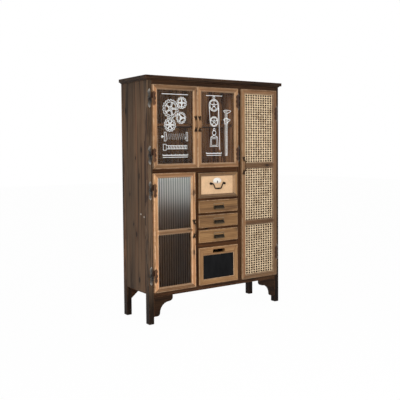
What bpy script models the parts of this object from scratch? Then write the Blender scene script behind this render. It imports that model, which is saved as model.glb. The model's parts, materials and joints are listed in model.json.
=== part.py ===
"""Free-standing display cabinet: glazed upper doors, reeded-glass door, caned tall door, five drawers.

Units are metres, +Z is up, the front faces -Y and the origin is the middle of the bounding box's base.
"""

import math

import bmesh
import bpy
from mathutils import Matrix, Vector

# Carcass
HEIGHT = 1.600
WIDTH = 1.100
DEPTH = 0.346
POST_W = 0.036
POST_D = 0.044
TOP_T = 0.022
TOP_OVERHANG = 0.018
COVE_H = 0.007
COVE_OUT = 0.013
COVE_IN = 0.004
SIDE_T = 0.014
SIDE_SET_IN = 0.001
SIDE_BOTTOM = 0.200
SIDE_PLANKS = 4
BACK_T = 0.009
BACK_SET_IN = 0.004
BACK_PLANKS = 9
V_GROOVE = 0.0016
BOARD_T = 0.018
PARTITION_T = 0.016
SHELF_Z = 1.281
SHELF_SET_BACK = 0.030

# Front frame
FRAME_T = 0.022
STILE_W = 0.036
LEFT_STILE_X = -0.1995
LEFT_STILE_W = 0.033
RIGHT_STILE_X = 0.1815
MEETING_X = -0.1755
BOTTOM_RAIL_Z = 0.1745
BOTTOM_RAIL_H = 0.0325
MIDDLE_RAIL_Z = 0.969
MIDDLE_RAIL_H = 0.042
TOP_RAIL_H = 0.035
DRAWER_RAIL_H = 0.014
THICK_RAIL_H = 0.034
WIDE_OPENING_H = 0.172
SMALL_OPENING_H = 0.0865
SMALL_DRAWERS = 3

# Feet
BRACKET_LENGTH = 0.143
BRACKET_DROP = 0.127
BRACKET_T = 0.020
APRON_H = 0.018
APRON_T = 0.018
APRON_CORNER_X = 0.080
APRON_CORNER_Z = 0.066

# Doors
DOOR_T = 0.0195
SIDE_LAP = 0.002
TOP_LAP = 0.007
BOTTOM_LAP = 0.0015
MEETING_GAP = 0.002
DOOR_STILE_W = 0.032
DOOR_RAIL_H = 0.032
REED_BAR_Z = 0.575
REED_BAR_H = 0.033
CANE_BAR_LOW_Z = 0.587
CANE_BAR_HIGH_Z = 0.989
CANE_BAR_LOW_H = 0.038
CANE_BAR_HIGH_H = 0.041
STICKING_W = 0.009
STICKING_D = 0.006
PANE_T = 0.003
PANE_SET_IN = 0.010
GROOVE_DEPTH = 0.006
CANE_T = 0.0022
CANE_PITCH = 0.0355
CANE_STRAND_W = 0.0120
REEDS = 15
REED_DEPTH = 0.0011

# Hinges
BARREL_R = 0.0038
BARREL_L = 0.048
PIN_R = 0.0019
PIN_PLAY = 0.0004
BALL_R = 0.0046
LEAF_T = 0.0020
LEAF_W = 0.0215
LEAF_H = 0.122
DOOR_LEAF_W = 0.020
DOOR_LEAF_H = 0.095
SCREW_HEAD_R = 0.0034
SCREW_HEAD_H = 0.0010
UPPER_HINGE_INSET = 0.088
REED_HINGE_INSET = 0.110
TALL_HINGE_INSET = 0.165

# Drawers
DRAWER_PROUD = 0.012
DRAWER_FRONT_T = 0.026
DRAWER_GAP = 0.001
SLIDE_GAP = 0.0004
TRAY_SIDE_T = 0.010
TRAY_BASE_T = 0.006
TRAY_SIDE_GAP = 0.002
TRAY_BACK_GAP = 0.012
TRAY_TOP_GAP = 0.012
RUNNER_W = 0.014
RUNNER_H = 0.010
WOVEN_SIDE = 0.031
WOVEN_BORDER = 0.024
WOVEN_SLOPE = 0.012
WOVEN_SUNK = 0.017
WOVEN_T = 0.003
SLATE_SIDE = 0.037
SLATE_TOP = 0.054
SLATE_BOTTOM = 0.037
SLATE_SUNK = 0.005
SLATE_T = 0.003
SLATE_SLOPE = 0.004
SLOT_W = 0.103
SLOT_H = 0.025
SLOT_TO_TOP = 0.016

# Handles
BOW_REACH = 0.028
BOW_R = 0.0044
BOW_SHORT = 0.109
BOW_LONG = 0.128
BOW_EDGE = 0.0145
UPPER_BOW_Z = 1.2955
REED_BOW_Z = 0.5985
TALL_BOW_Z = 1.0095
BOW_LEAF_W = 0.023
BOW_LEAF_H = 0.034
BOW_LEAF_T = 0.0030
CUP_W = 0.088
CUP_H = 0.040
CUP_PLATE_T = 0.0022
CUP_RIM = 0.005
CUP_LIP_W = 0.076
CUP_LIP_RISE = 0.019
CUP_REACH = 0.017
CUP_SHELL_T = 0.0022
BAIL_SPAN = 0.110
BAIL_DROP = 0.034
BAIL_FLAT = 0.48
BAIL_NECK = 0.44
BAIL_R = 0.0037
BAIL_BULGE = 1.45
BAIL_OUT = 0.0130
BAIL_HEAD_R = 0.0082
BAIL_STEM_R = 0.0036
BAIL_PLAY = 0.0003
BAIL_LIFT = 0.010
PLATE_W = 0.060
PLATE_H = 0.052
PLATE_LOBES = 12
PLATE_T = 0.0026
PLATE_RISE = 0.013
STRAP_H = 0.005
KEYHOLE_R = 0.0032

# Fits
FIT = 0.0003
EDGE = 0.0016
CUT = 0.002

WALNUT = (0.075, 0.040, 0.028, 1)
FIR = (0.36, 0.19, 0.085, 1)
DEEP_FIR = (0.27, 0.135, 0.060, 1)
CANE = (0.52, 0.38, 0.23, 1)
RAFFIA = (0.60, 0.50, 0.35, 1)
SLATE = (0.018, 0.018, 0.019, 1)
GLASS = (0.75, 0.80, 0.79, 1)
IRON = (0.030, 0.027, 0.026, 1)
BRONZE = (0.17, 0.095, 0.050, 1)
NICKEL = (0.78, 0.77, 0.73, 1)

# Places that follow from the sizes
REACH = DOOR_T + FIT + BOW_REACH
BACK_Y = (DEPTH + REACH) / 2
FRONT_Y = BACK_Y - DEPTH
DOOR_BACK_Y = FRONT_Y - FIT
DOOR_FRONT_Y = DOOR_BACK_Y - DOOR_T
TOP_Z = HEIGHT - TOP_T
POST_TOP_Z = TOP_Z - COVE_H
OUT_X = WIDTH / 2
POST_IN_X = OUT_X - POST_W
BOTTOM_RAIL_TOP = BOTTOM_RAIL_Z + BOTTOM_RAIL_H
MIDDLE_RAIL_TOP = MIDDLE_RAIL_Z + MIDDLE_RAIL_H
TOP_RAIL_Z = POST_TOP_Z - FIT - TOP_RAIL_H
SIDE_OUT_X = OUT_X - SIDE_SET_IN
SIDE_IN_X = SIDE_OUT_X - SIDE_T
BACK_IN_Y = BACK_Y - BACK_SET_IN - BACK_T
INNER_FRONT_Y = FRONT_Y + FRAME_T + FIT
INNER_BACK_Y = BACK_IN_Y - FIT
FLOOR_TOP = BOTTOM_RAIL_TOP
FLOOR_Z = FLOOR_TOP - BOARD_T
DECK_TOP = MIDDLE_RAIL_TOP - TOP_LAP
DECK_Z = DECK_TOP - BOARD_T
BAY_LEFT = LEFT_STILE_X + LEFT_STILE_W
BAY_RIGHT = RIGHT_STILE_X - STILE_W / 2
BAY_X = (BAY_LEFT + BAY_RIGHT) / 2
TALL_LEFT = RIGHT_STILE_X + STILE_W / 2
REED_RIGHT = LEFT_STILE_X
AXIS_OUT = BALL_R + 2 * FIT
AXIS_Y = FRONT_Y - AXIS_OUT


def clear_scene():
    for obj in list(bpy.data.objects):
        bpy.data.objects.remove(obj, do_unlink=True)


clear_scene()
PARTS = bpy.data.collections.new("glass_display_cabinet")
CUTTERS = bpy.data.collections.new("cutters")
for made in (PARTS, CUTTERS):
    bpy.context.scene.collection.children.link(made)


def material(name, colour, roughness, metallic=0.0):
    mat = bpy.data.materials.new(name)
    mat.use_nodes = True
    shader = mat.node_tree.nodes["Principled BSDF"]
    shader.inputs["Base Color"].default_value = colour
    shader.inputs["Roughness"].default_value = roughness
    shader.inputs["Metallic"].default_value = metallic
    return mat


def place(obj, collection):
    for old in list(obj.users_collection):
        old.objects.unlink(obj)
    collection.objects.link(obj)
    return obj


def paint(obj, look):
    obj.data.materials.clear()
    obj.data.materials.append(material(obj.name, *look))
    return obj


WALNUT_LOOK = (WALNUT, 0.55)
FIR_LOOK = (FIR, 0.50)
DEEP_FIR_LOOK = (DEEP_FIR, 0.50)
IRON_LOOK = (IRON, 0.45, 0.9)
BRONZE_LOOK = (BRONZE, 0.40, 0.9)
GLASS_LOOK = (GLASS, 0.05)


def block(name, x0, x1, y0, y1, z0, z1, look=None, edge=0.0):
    """A board between two corners, with its long edges eased."""
    bpy.ops.mesh.primitive_cube_add(size=1.0)
    obj = bpy.context.object
    obj.name = name
    centre = Vector(((x0 + x1) / 2, (y0 + y1) / 2, (z0 + z1) / 2))
    obj.data.transform(Matrix.Diagonal((x1 - x0, y1 - y0, z1 - z0, 1)))
    obj.location = centre
    if edge:
        ease = obj.modifiers.new("Eased edges", "BEVEL")
        ease.width = min(edge, 0.3 * min(x1 - x0, y1 - y0, z1 - z0))
        ease.segments = 1
    if look is None:
        return helper(obj)
    place(obj, PARTS)
    return paint(obj, look)


def helper(obj):
    place(obj, CUTTERS)
    obj.hide_render = True
    obj.display_type = "WIRE"
    return obj


TURNS = {
    "X": (math.pi / 2, 0, math.pi / 2),
    "Y": (math.pi / 2, 0, 0),
    "Z": (0, 0, 0),
}


def outline(name, loops, axis, near, far, look=None, edge=0.0):
    """A flat outline of one or more loops, given thickness along an axis from near to far."""
    data = bpy.data.curves.new(name, "CURVE")
    data.dimensions = "2D"
    data.fill_mode = "BOTH"
    data.extrude = abs(far - near) / 2
    for loop in loops:
        spline = data.splines.new("POLY")
        spline.points.add(len(loop) - 1)
        for point, (u, v) in zip(spline.points, loop):
            point.co = (u, v, 0, 1)
        spline.use_cyclic_u = True
    curve = bpy.data.objects.new(name, data)
    CUTTERS.objects.link(curve)
    curve.rotation_euler = TURNS[axis]
    middle = (near + far) / 2
    curve.location = {"X": (middle, 0, 0), "Y": (0, middle, 0), "Z": (0, 0, middle)}[axis]
    return as_mesh(curve, look, edge)


def as_mesh(curve, look=None, edge=0.0):
    """The curve's surface as a welded mesh object of the same name, in world space."""
    bpy.context.view_layer.update()
    graph = bpy.context.evaluated_depsgraph_get()
    name = curve.name
    mesh = bpy.data.meshes.new_from_object(curve.evaluated_get(graph))
    mesh.transform(curve.matrix_world)
    bpy.data.objects.remove(curve, do_unlink=True)
    shape = bmesh.new()
    shape.from_mesh(mesh)
    bmesh.ops.remove_doubles(shape, verts=shape.verts, dist=1e-6)
    bmesh.ops.recalc_face_normals(shape, faces=shape.faces)
    bmesh.ops.dissolve_limit(
        shape, angle_limit=math.radians(0.3), verts=shape.verts, edges=shape.edges
    )
    shape.to_mesh(mesh)
    shape.free()
    mesh.name = name
    obj = bpy.data.objects.new(name, mesh)
    CUTTERS.objects.link(obj)
    if edge:
        ease = obj.modifiers.new("Eased edges", "BEVEL")
        ease.width = edge
        ease.segments = 1
        ease.angle_limit = math.radians(50)
    if look is None:
        return helper(obj)
    place(obj, PARTS)
    return paint(obj, look)


def combine(obj, other, operation):
    step = obj.modifiers.new(operation.title() + " " + other.name, "BOOLEAN")
    step.operation = operation
    step.object = other
    return obj


def baked(obj):
    """The object's evaluated mesh, for copies that share it."""
    bpy.context.view_layer.update()
    graph = bpy.context.evaluated_depsgraph_get()
    mesh = bpy.data.meshes.new_from_object(obj.evaluated_get(graph))
    mesh.transform(obj.matrix_world)
    return mesh


def copy_of(name, mesh, at, look):
    obj = bpy.data.objects.new(name, mesh.copy())
    PARTS.objects.link(obj)
    obj.location = at
    return paint(obj, look)


def turned(name, profile, steps=12):
    """A lathe shape about Z from (radius, height) points that run down the outer side."""
    mesh = bpy.data.meshes.new(name)
    points = [(r, 0, z) for r, z in profile]
    mesh.from_pydata(points, [(i, i + 1) for i in range(len(points) - 1)], [])
    obj = bpy.data.objects.new(name, mesh)
    CUTTERS.objects.link(obj)
    spin = obj.modifiers.new("Lathe", "SCREW")
    spin.steps = spin.render_steps = steps
    spin.use_merge_vertices = True
    spin.merge_threshold = 1e-6
    spin.use_normal_calculate = True
    return helper(obj)


def round_edges(obj, degrees=40):
    obj.data.shade_smooth()
    obj.data.set_sharp_from_angle(angle=math.radians(degrees))
    return obj


def ball_points(radius, centre, down, count=4):
    """Profile of half a ball from its pole to where it meets the barrel."""
    for i in range(count):
        angle = math.pi / 2 * i / count
        yield radius * math.sin(angle), centre + down * radius * math.cos(angle)


def body_empty(name, at):
    empty = bpy.data.objects.new(name, None)
    empty.empty_display_size = 0.03
    empty.location = at
    PARTS.objects.link(empty)
    return empty


def hang(empty, pieces):
    bpy.context.view_layer.update()
    for piece in pieces:
        piece.parent = empty
        piece.matrix_parent_inverse = empty.matrix_world.inverted()


def tapered_cut(name, x0, x1, y_front, y_back, z0, z1, slope):
    """A cutter that widens towards the front by the slope on each side."""
    obj = block(name, x0, x1, y_front, y_back, z0, z1)
    half_x, half_z = (x1 - x0) / 2, (z1 - z0) / 2
    for vertex in obj.data.vertices:
        if vertex.co.y < 0:
            vertex.co.x *= (half_x + slope) / half_x
            vertex.co.z *= (half_z + slope) / half_z
    return obj


# Carcass


def planks(name, u0, u1, v0, v1, count, groove):
    """A board's section with V grooves along both faces where its planks meet."""
    step = (u1 - u0) / count
    near = [(u0, v0)]
    far = [(u1, v1)]
    for i in range(1, count):
        seam = u0 + i * step
        near += [(seam - groove, v0), (seam, v0 + groove), (seam + groove, v0)]
        back = u1 - i * step
        far += [(back + groove, v1), (back, v1 - groove), (back - groove, v1)]
    return near + [(u1, v0)] + far + [(u0, v1)]


def make_carcass():
    top = block(
        "top_board",
        -OUT_X - TOP_OVERHANG,
        OUT_X + TOP_OVERHANG,
        FRONT_Y - TOP_OVERHANG,
        BACK_Y,
        TOP_Z,
        HEIGHT,
        WALNUT_LOOK,
        EDGE,
    )
    cove = block(
        "cove_under_top",
        -OUT_X - COVE_OUT,
        OUT_X + COVE_OUT,
        FRONT_Y - COVE_OUT,
        BACK_Y - FIT,
        POST_TOP_Z,
        TOP_Z + TOP_T / 2,
    )
    drawn_in = COVE_OUT - COVE_IN
    for vertex in cove.data.vertices:
        if vertex.co.z < 0:
            vertex.co.x -= math.copysign(drawn_in, vertex.co.x)
            if vertex.co.y < 0:
                vertex.co.y += drawn_in
    combine(top, cove, "UNION")

    for side, sign in (("left", -1), ("right", 1)):
        inner, outer = sorted((sign * POST_IN_X, sign * OUT_X))
        for end, y0, y1 in (
            ("front", FRONT_Y, FRONT_Y + POST_D),
            ("back", BACK_Y - POST_D, BACK_Y),
        ):
            name = f"post_{end}_{side}"
            block(name, inner, outer, y0, y1, 0, POST_TOP_Z - FIT, WALNUT_LOOK, EDGE)
        near, far = sorted((sign * SIDE_IN_X, sign * SIDE_OUT_X))
        section = planks(
            "side", FRONT_Y + POST_D + FIT, BACK_Y - POST_D - FIT, near, far, SIDE_PLANKS, V_GROOVE
        )
        outline(
            f"side_panel_{side}",
            [[(x, y) for y, x in section]],
            "Z",
            SIDE_BOTTOM,
            POST_TOP_Z - FIT,
            WALNUT_LOOK,
        )

    section = planks(
        "back", -POST_IN_X + FIT, POST_IN_X - FIT, BACK_IN_Y, BACK_Y - BACK_SET_IN, BACK_PLANKS, V_GROOVE
    )
    outline("back_panel", [section], "Z", BOTTOM_RAIL_Z, POST_TOP_Z - FIT, WALNUT_LOOK)

    # Boards notched round the posts
    def board(name, left_end, right_end, z0, front, look):
        notch_front = FRONT_Y + POST_D + FIT
        notch_back = BACK_Y - POST_D - FIT
        loop = []
        if left_end is None:
            loop += [
                (-POST_IN_X + FIT, notch_front),
                (-POST_IN_X + FIT, front),
            ]
        else:
            loop += [(left_end, front)]
        if right_end is None:
            loop += [
                (POST_IN_X - FIT, front),
                (POST_IN_X - FIT, notch_front),
                (SIDE_IN_X - FIT, notch_front),
                (SIDE_IN_X - FIT, notch_back),
                (POST_IN_X - FIT, notch_back),
                (POST_IN_X - FIT, INNER_BACK_Y),
            ]
        else:
            loop += [(right_end, front), (right_end, INNER_BACK_Y)]
        if left_end is None:
            loop += [
                (-POST_IN_X + FIT, INNER_BACK_Y),
                (-POST_IN_X + FIT, notch_back),
                (-SIDE_IN_X + FIT, notch_back),
                (-SIDE_IN_X + FIT, notch_front),
            ]
        else:
            loop += [(left_end, INNER_BACK_Y)]
        return outline(name, [loop], "Z", z0, z0 + BOARD_T, look)

    board("bottom_board", None, None, FLOOR_Z, INNER_FRONT_Y, WALNUT_LOOK)
    board("middle_board", None, BAY_RIGHT - FIT, DECK_Z, INNER_FRONT_Y, WALNUT_LOOK)
    board("upper_shelf", None, BAY_RIGHT - FIT, SHELF_Z, INNER_FRONT_Y + SHELF_SET_BACK, WALNUT_LOOK)


def drawer_openings():
    """(bottom, top) of each drawer's opening, from the top drawer down."""
    heights = [WIDE_OPENING_H] + [SMALL_OPENING_H] * SMALL_DRAWERS
    rails = [DRAWER_RAIL_H] * SMALL_DRAWERS + [THICK_RAIL_H]
    top = MIDDLE_RAIL_Z
    found = []
    for height, rail in zip(heights, rails):
        found.append((top - height, top))
        top -= height + rail
    found.append((BOTTOM_RAIL_TOP, top))
    return found


def make_front_frame():
    openings = drawer_openings()
    right = BAY_RIGHT - FIT
    comb = [
        (-POST_IN_X + FIT, MIDDLE_RAIL_TOP),
        (-POST_IN_X + FIT, MIDDLE_RAIL_Z),
        (REED_RIGHT, MIDDLE_RAIL_Z),
        (REED_RIGHT, BOTTOM_RAIL_TOP + FIT),
        (BAY_LEFT, BOTTOM_RAIL_TOP + FIT),
    ]
    for i in range(len(openings) - 1, 0, -1):
        low, high = openings[i][1], openings[i - 1][0]
        comb += [(BAY_LEFT, low), (right, low), (right, high), (BAY_LEFT, high)]
    comb += [(BAY_LEFT, MIDDLE_RAIL_Z), (right, MIDDLE_RAIL_Z), (right, MIDDLE_RAIL_TOP)]
    outline("drawer_frame", [comb], "Y", FRONT_Y, FRONT_Y + FRAME_T, WALNUT_LOOK)
    block(
        "right_stile",
        BAY_RIGHT,
        TALL_LEFT,
        FRONT_Y,
        FRONT_Y + FRAME_T,
        BOTTOM_RAIL_TOP + FIT,
        TOP_RAIL_Z - FIT,
        WALNUT_LOOK,
        EDGE,
    )
    rail_end = POST_IN_X - FIT
    block(
        "bottom_rail",
        -rail_end,
        rail_end,
        FRONT_Y,
        FRONT_Y + FRAME_T,
        BOTTOM_RAIL_Z,
        BOTTOM_RAIL_TOP,
        WALNUT_LOOK,
        EDGE,
    )
    block(
        "top_rail",
        -rail_end,
        rail_end,
        FRONT_Y,
        FRONT_Y + FRAME_T,
        TOP_RAIL_Z,
        TOP_RAIL_Z + TOP_RAIL_H,
        WALNUT_LOOK,
        EDGE,
    )

    # Partitions carry the strips that the drawers run on
    def partition(name, wall, face, toward, top):
        loop = [(wall, FLOOR_TOP + FIT), (face, FLOOR_TOP + FIT)]
        for low, _ in reversed(openings[:-1]):
            tip = face + toward * RUNNER_W
            loop += [(face, low - RUNNER_H), (tip, low - RUNNER_H), (tip, low), (face, low)]
        loop += [(face, top), (wall, top)]
        outline(name, [loop], "Y", INNER_FRONT_Y, INNER_BACK_Y, WALNUT_LOOK)

    partition("partition_left", BAY_LEFT - PARTITION_T, BAY_LEFT, 1, DECK_Z - FIT)
    partition("partition_right", BAY_RIGHT + PARTITION_T, BAY_RIGHT, -1, POST_TOP_Z - FIT)


def make_feet():
    """Scrolled brackets beside the front legs and a back apron with cut corners."""
    length, drop = BRACKET_LENGTH, BRACKET_DROP

    def bend(points, centre, radii, start, end, count=6):
        for i in range(1, count + 1):
            angle = math.radians(start + (end - start) * i / count)
            points.append(
                (centre[0] + radii[0] * math.cos(angle), centre[1] + radii[1] * math.sin(angle))
            )

    scroll = [(0.0, 0.0), (length, 0.0), (length, -0.14 * drop)]
    bend(scroll, (0.79 * length, -0.14 * drop), (0.21 * length, 0.17 * drop), 0, -90)
    bend(scroll, (0.79 * length, -0.86 * drop), (0.48 * length, 0.55 * drop), 90, 180)
    bend(scroll, (0.16 * length, -0.86 * drop), (0.15 * length, 0.14 * drop), 0, -90)
    scroll.append((0.0, -drop))
    for side, sign in (("left", -1), ("right", 1)):
        start = POST_IN_X - FIT
        loop = [(sign * (start - dx), BOTTOM_RAIL_Z - FIT + dz) for dx, dz in scroll]
        outline(
            f"bracket_front_{side}", [loop], "Y", FRONT_Y + 0.001, FRONT_Y + 0.001 + BRACKET_T, WALNUT_LOOK
        )
    end = POST_IN_X - FIT
    top = FLOOR_Z - FIT
    low = top - APRON_H
    half = [(end, top), (end, low - APRON_CORNER_Z), (end - APRON_CORNER_X, low)]
    loop = half + [(-x, z) for x, z in reversed(half)]
    outline(
        "back_apron", [loop], "Y", INNER_BACK_Y - APRON_T, INNER_BACK_Y, WALNUT_LOOK
    )


# Hinges


def leaf_edge(width, height, count=18):
    """Half outline of a scalloped leaf, from its foot to its head."""
    for i in range(count + 1):
        z = -height / 2 + height * i / count
        wave = abs(math.cos(1.5 * math.pi * z / (height / 2)))
        taper = 1 - 0.55 * (2 * abs(z) / height) ** 6
        yield width * (0.62 + 0.38 * wave) * taper, z


def screw_head(name, x, y, z):
    """A domed head on a leaf that faces -Y."""
    depth = LEAF_T / 2 + SCREW_HEAD_H
    bpy.ops.mesh.primitive_cylinder_add(vertices=8, radius=SCREW_HEAD_R, depth=depth)
    head = bpy.context.object
    head.name = name
    head.data.transform(Matrix.Rotation(math.pi / 2, 4, "X"))
    head.location = (x, y - depth / 2, z)
    return helper(head)


def hinge_meshes(out):
    """Post leaf and door leaf, about the hinge's axis at the origin. out is -1 where the post is to the left."""
    post_face = FRONT_Y - FIT - AXIS_Y
    door_face = DOOR_FRONT_Y - FIT - AXIS_Y
    door_edge = -out * AXIS_OUT
    half = BARREL_L / 2

    inner = out * BARREL_R
    plate = [(inner, -0.42 * LEAF_H)]
    plate += [(inner + out * w, z) for w, z in leaf_edge(LEAF_W, LEAF_H)]
    tongue = -0.3 * inner
    plate += [(inner, 0.42 * LEAF_H), (inner, -2 * FIT), (tongue, -2 * FIT)]
    plate += [(tongue, -0.9 * half), (inner, -0.9 * half)]
    post = outline(f"post_leaf_{out}", [plate], "Y", post_face - LEAF_T, post_face)
    lower = [(0, PIN_R * 4), (PIN_R, PIN_R * 3.6), (PIN_R, -FIT), (BARREL_R, -FIT), (BARREL_R, -half)]
    lower += [(r, z) for r, z in reversed(list(ball_points(BALL_R, -half - 0.6 * BALL_R, -1)))]
    combine(post, turned(f"lower_knuckle_{out}", lower), "UNION")
    for i in (-1, 0, 1):
        head = screw_head(
            f"post_screw_{out}_{i}", out * 0.62 * LEAF_W, post_face - LEAF_T / 2, i * 0.34 * LEAF_H
        )
        combine(post, head, "UNION")

    edge_plate = block(
        f"door_leaf_{out}",
        *sorted((door_edge + out * FIT, door_edge + out * (FIT + LEAF_T))),
        door_face - LEAF_T,
        DOOR_BACK_Y - AXIS_Y - 2 * FIT,
        FIT,
        0.40 * DOOR_LEAF_H,
    )
    wrap = [(door_edge + out * (FIT + LEAF_T), -0.40 * DOOR_LEAF_H)]
    wrap += [(door_edge - out * w, z) for w, z in leaf_edge(DOOR_LEAF_W, DOOR_LEAF_H)]
    wrap += [(door_edge + out * (FIT + LEAF_T), 0.40 * DOOR_LEAF_H)]
    front = outline(f"door_leaf_front_{out}", [wrap], "Y", door_face - LEAF_T, door_face)
    combine(edge_plate, front, "UNION")
    bore = PIN_R + PIN_PLAY
    upper = [(r, z) for r, z in ball_points(BALL_R, half + 0.6 * BALL_R, 1)]
    upper += [(BARREL_R, half), (BARREL_R, FIT), (bore, FIT), (bore, PIN_R * 4.6), (0, PIN_R * 4.6)]
    combine(edge_plate, turned(f"upper_knuckle_{out}", upper), "UNION")
    return baked(post), baked(edge_plate)


def make_hinges():
    """Leaves of all eight hinges; returns the door leaves by door."""
    shapes = {out: hinge_meshes(out) for out in (-1, 1)}
    leaves = {}
    for door, (x0, x1, z0, z1, out, inset) in DOORS.items():
        axis_x = (x0 if out < 0 else x1) + out * AXIS_OUT
        leaves[door] = []
        for level, z in (("top", z1 - inset), ("low", z0 + inset)):
            at = (axis_x, AXIS_Y, z)
            post, leaf = shapes[out]
            round_edges(copy_of(f"hinge_{level}_post_leaf_{door}", post, at, IRON_LOOK))
            made_leaf = copy_of(f"hinge_{level}_door_leaf_{door}", leaf, at, BRONZE_LOOK)
            leaves[door].append(round_edges(made_leaf))
    return leaves


# Doors: left edge, right edge, bottom, top, side the hinge is on, hinge inset from the ends
UPPER_Z = (MIDDLE_RAIL_TOP - TOP_LAP, TOP_RAIL_Z + TOP_LAP)
FULL_LOW = BOTTOM_RAIL_TOP - BOTTOM_LAP
DOORS = {
    "upper_left": (
        -POST_IN_X - SIDE_LAP,
        MEETING_X - MEETING_GAP / 2,
        *UPPER_Z,
        -1,
        UPPER_HINGE_INSET,
    ),
    "upper_right": (
        MEETING_X + MEETING_GAP / 2,
        BAY_RIGHT + SIDE_LAP,
        *UPPER_Z,
        1,
        UPPER_HINGE_INSET,
    ),
    "reeded": (
        -POST_IN_X - SIDE_LAP,
        REED_RIGHT + SIDE_LAP,
        FULL_LOW,
        MIDDLE_RAIL_Z + TOP_LAP,
        -1,
        REED_HINGE_INSET,
    ),
    "tall": (
        TALL_LEFT - SIDE_LAP,
        POST_IN_X + SIDE_LAP,
        FULL_LOW,
        TOP_RAIL_Z + TOP_LAP,
        1,
        TALL_HINGE_INSET,
    ),
}


def door_frame(name, x0, x1, z0, z1, bars):
    """A framed door: through openings, a sloped sticking round each and one groove for the panel."""
    frame = block(name, x0, x1, DOOR_FRONT_Y, DOOR_BACK_Y, z0, z1, FIR_LOOK, EDGE)
    in_x0, in_x1 = x0 + DOOR_STILE_W, x1 - DOOR_STILE_W
    levels = [z0 + DOOR_RAIL_H]
    for low, height in bars:
        levels += [low, low + height]
    levels.append(z1 - DOOR_RAIL_H)
    for i in range(0, len(levels), 2):
        low, high = levels[i], levels[i + 1]
        through = block(
            f"{name}_opening_{i}", in_x0, in_x1, DOOR_FRONT_Y - CUT, DOOR_BACK_Y + CUT, low, high
        )
        combine(frame, through, "DIFFERENCE")
        steep = STICKING_W / STICKING_D
        slope = tapered_cut(
            f"{name}_sticking_{i}",
            in_x0,
            in_x1,
            DOOR_FRONT_Y - CUT,
            DOOR_FRONT_Y + STICKING_D,
            low,
            high,
            STICKING_W + CUT * steep,
        )
        combine(frame, slope, "DIFFERENCE")
    groove = block(
        f"{name}_groove",
        in_x0 - GROOVE_DEPTH,
        in_x1 + GROOVE_DEPTH,
        DOOR_FRONT_Y + PANE_SET_IN - FIT,
        DOOR_FRONT_Y + PANE_SET_IN + PANE_T + FIT,
        levels[0] - GROOVE_DEPTH,
        levels[-1] + GROOVE_DEPTH,
    )
    combine(frame, groove, "DIFFERENCE")
    reach = GROOVE_DEPTH - FIT
    return frame, (in_x0 - reach, in_x1 + reach, levels[0] - reach, levels[-1] + reach)


def bow_mesh(length):
    """A bow pull that stands on two forked leaves, its back at y 0 and its middle at the origin."""
    data = bpy.data.curves.new("bow", "CURVE")
    data.dimensions = "3D"
    data.bevel_depth = BOW_R
    data.bevel_resolution = 2
    data.use_fill_caps = True
    spline = data.splines.new("POLY")
    count = 14
    foot = length / 2 - 0.55 * BOW_LEAF_H
    spline.points.add(count)
    reach = BOW_REACH - BOW_R - FIT
    for i, point in enumerate(spline.points):
        angle = math.pi * i / count
        out = 0.4 * BOW_LEAF_T + (reach - 0.4 * BOW_LEAF_T) * math.sin(angle) ** 0.85
        point.co = (0, -out, foot * math.cos(angle), 1)
        point.radius = 1.0 - 0.28 * abs(math.cos(angle))
    curve = bpy.data.objects.new("bow_grip", data)
    CUTTERS.objects.link(curve)
    grip = as_mesh(curve)
    # shares of the leaf's width and height, from its stem round one lobe to the notch between the lobes
    lobe = [
        (0.17, 0.0), (0.20, 0.25), (0.28, 0.45), (0.44, 0.60),
        (0.50, 0.76), (0.44, 0.92), (0.30, 1.0), (0.15, 0.93),
    ]
    shape = lobe + [(0.0, 0.78)] + [(-across, along) for across, along in reversed(lobe)]
    for sign in (-1, 1):
        stem = length / 2 - BOW_LEAF_H
        loop = [(BOW_LEAF_W * across, sign * (stem + BOW_LEAF_H * along)) for across, along in shape]
        combine(grip, outline(f"bow_foot_{sign}", [loop], "Y", -BOW_LEAF_T, 0.0), "UNION")
    return baked(grip)


def cane_net(name, x0, x1, near, far, z0, z1, look):
    """A flat net of broad strands with open gaps between them, its rim held in the door's groove."""
    spans = []
    for low, high in ((x0, x1), (z0, z1)):
        gaps = max(1, round((high - low - 2 * GROOVE_DEPTH) / CANE_PITCH))
        pitch = (high - low - 2 * GROOVE_DEPTH) / gaps
        lines = [low]
        for i in range(gaps):
            start = low + GROOVE_DEPTH + i * pitch
            lines += [start + CANE_STRAND_W / 2, start + pitch - CANE_STRAND_W / 2]
        spans.append(lines + [high])
    columns, rows = len(spans[0]) - 1, len(spans[1]) - 1
    bpy.ops.mesh.primitive_grid_add(x_subdivisions=columns, y_subdivisions=rows, size=1.0)
    obj = bpy.context.object
    obj.name = name
    shape = bmesh.new()
    shape.from_mesh(obj.data)
    cells = {
        face: [int((face.calc_center_median()[k] + 0.5) * (columns, rows)[k]) for k in range(2)] for face in shape.faces
    }
    for vert in shape.verts:
        i, j = round((vert.co.x + 0.5) * columns), round((vert.co.y + 0.5) * rows)
        vert.co = (spans[0][i], near, spans[1][j])
    open_cells = [face for face, (i, j) in cells.items() if i % 2 and j % 2]
    bmesh.ops.delete(shape, geom=open_cells, context="FACES")
    shape.to_mesh(obj.data)
    shape.free()
    wall = obj.modifiers.new("Strand thickness", "SOLIDIFY")
    wall.thickness = far - near
    wall.offset = -1.0
    place(obj, PARTS)
    return paint(obj, look)


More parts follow.
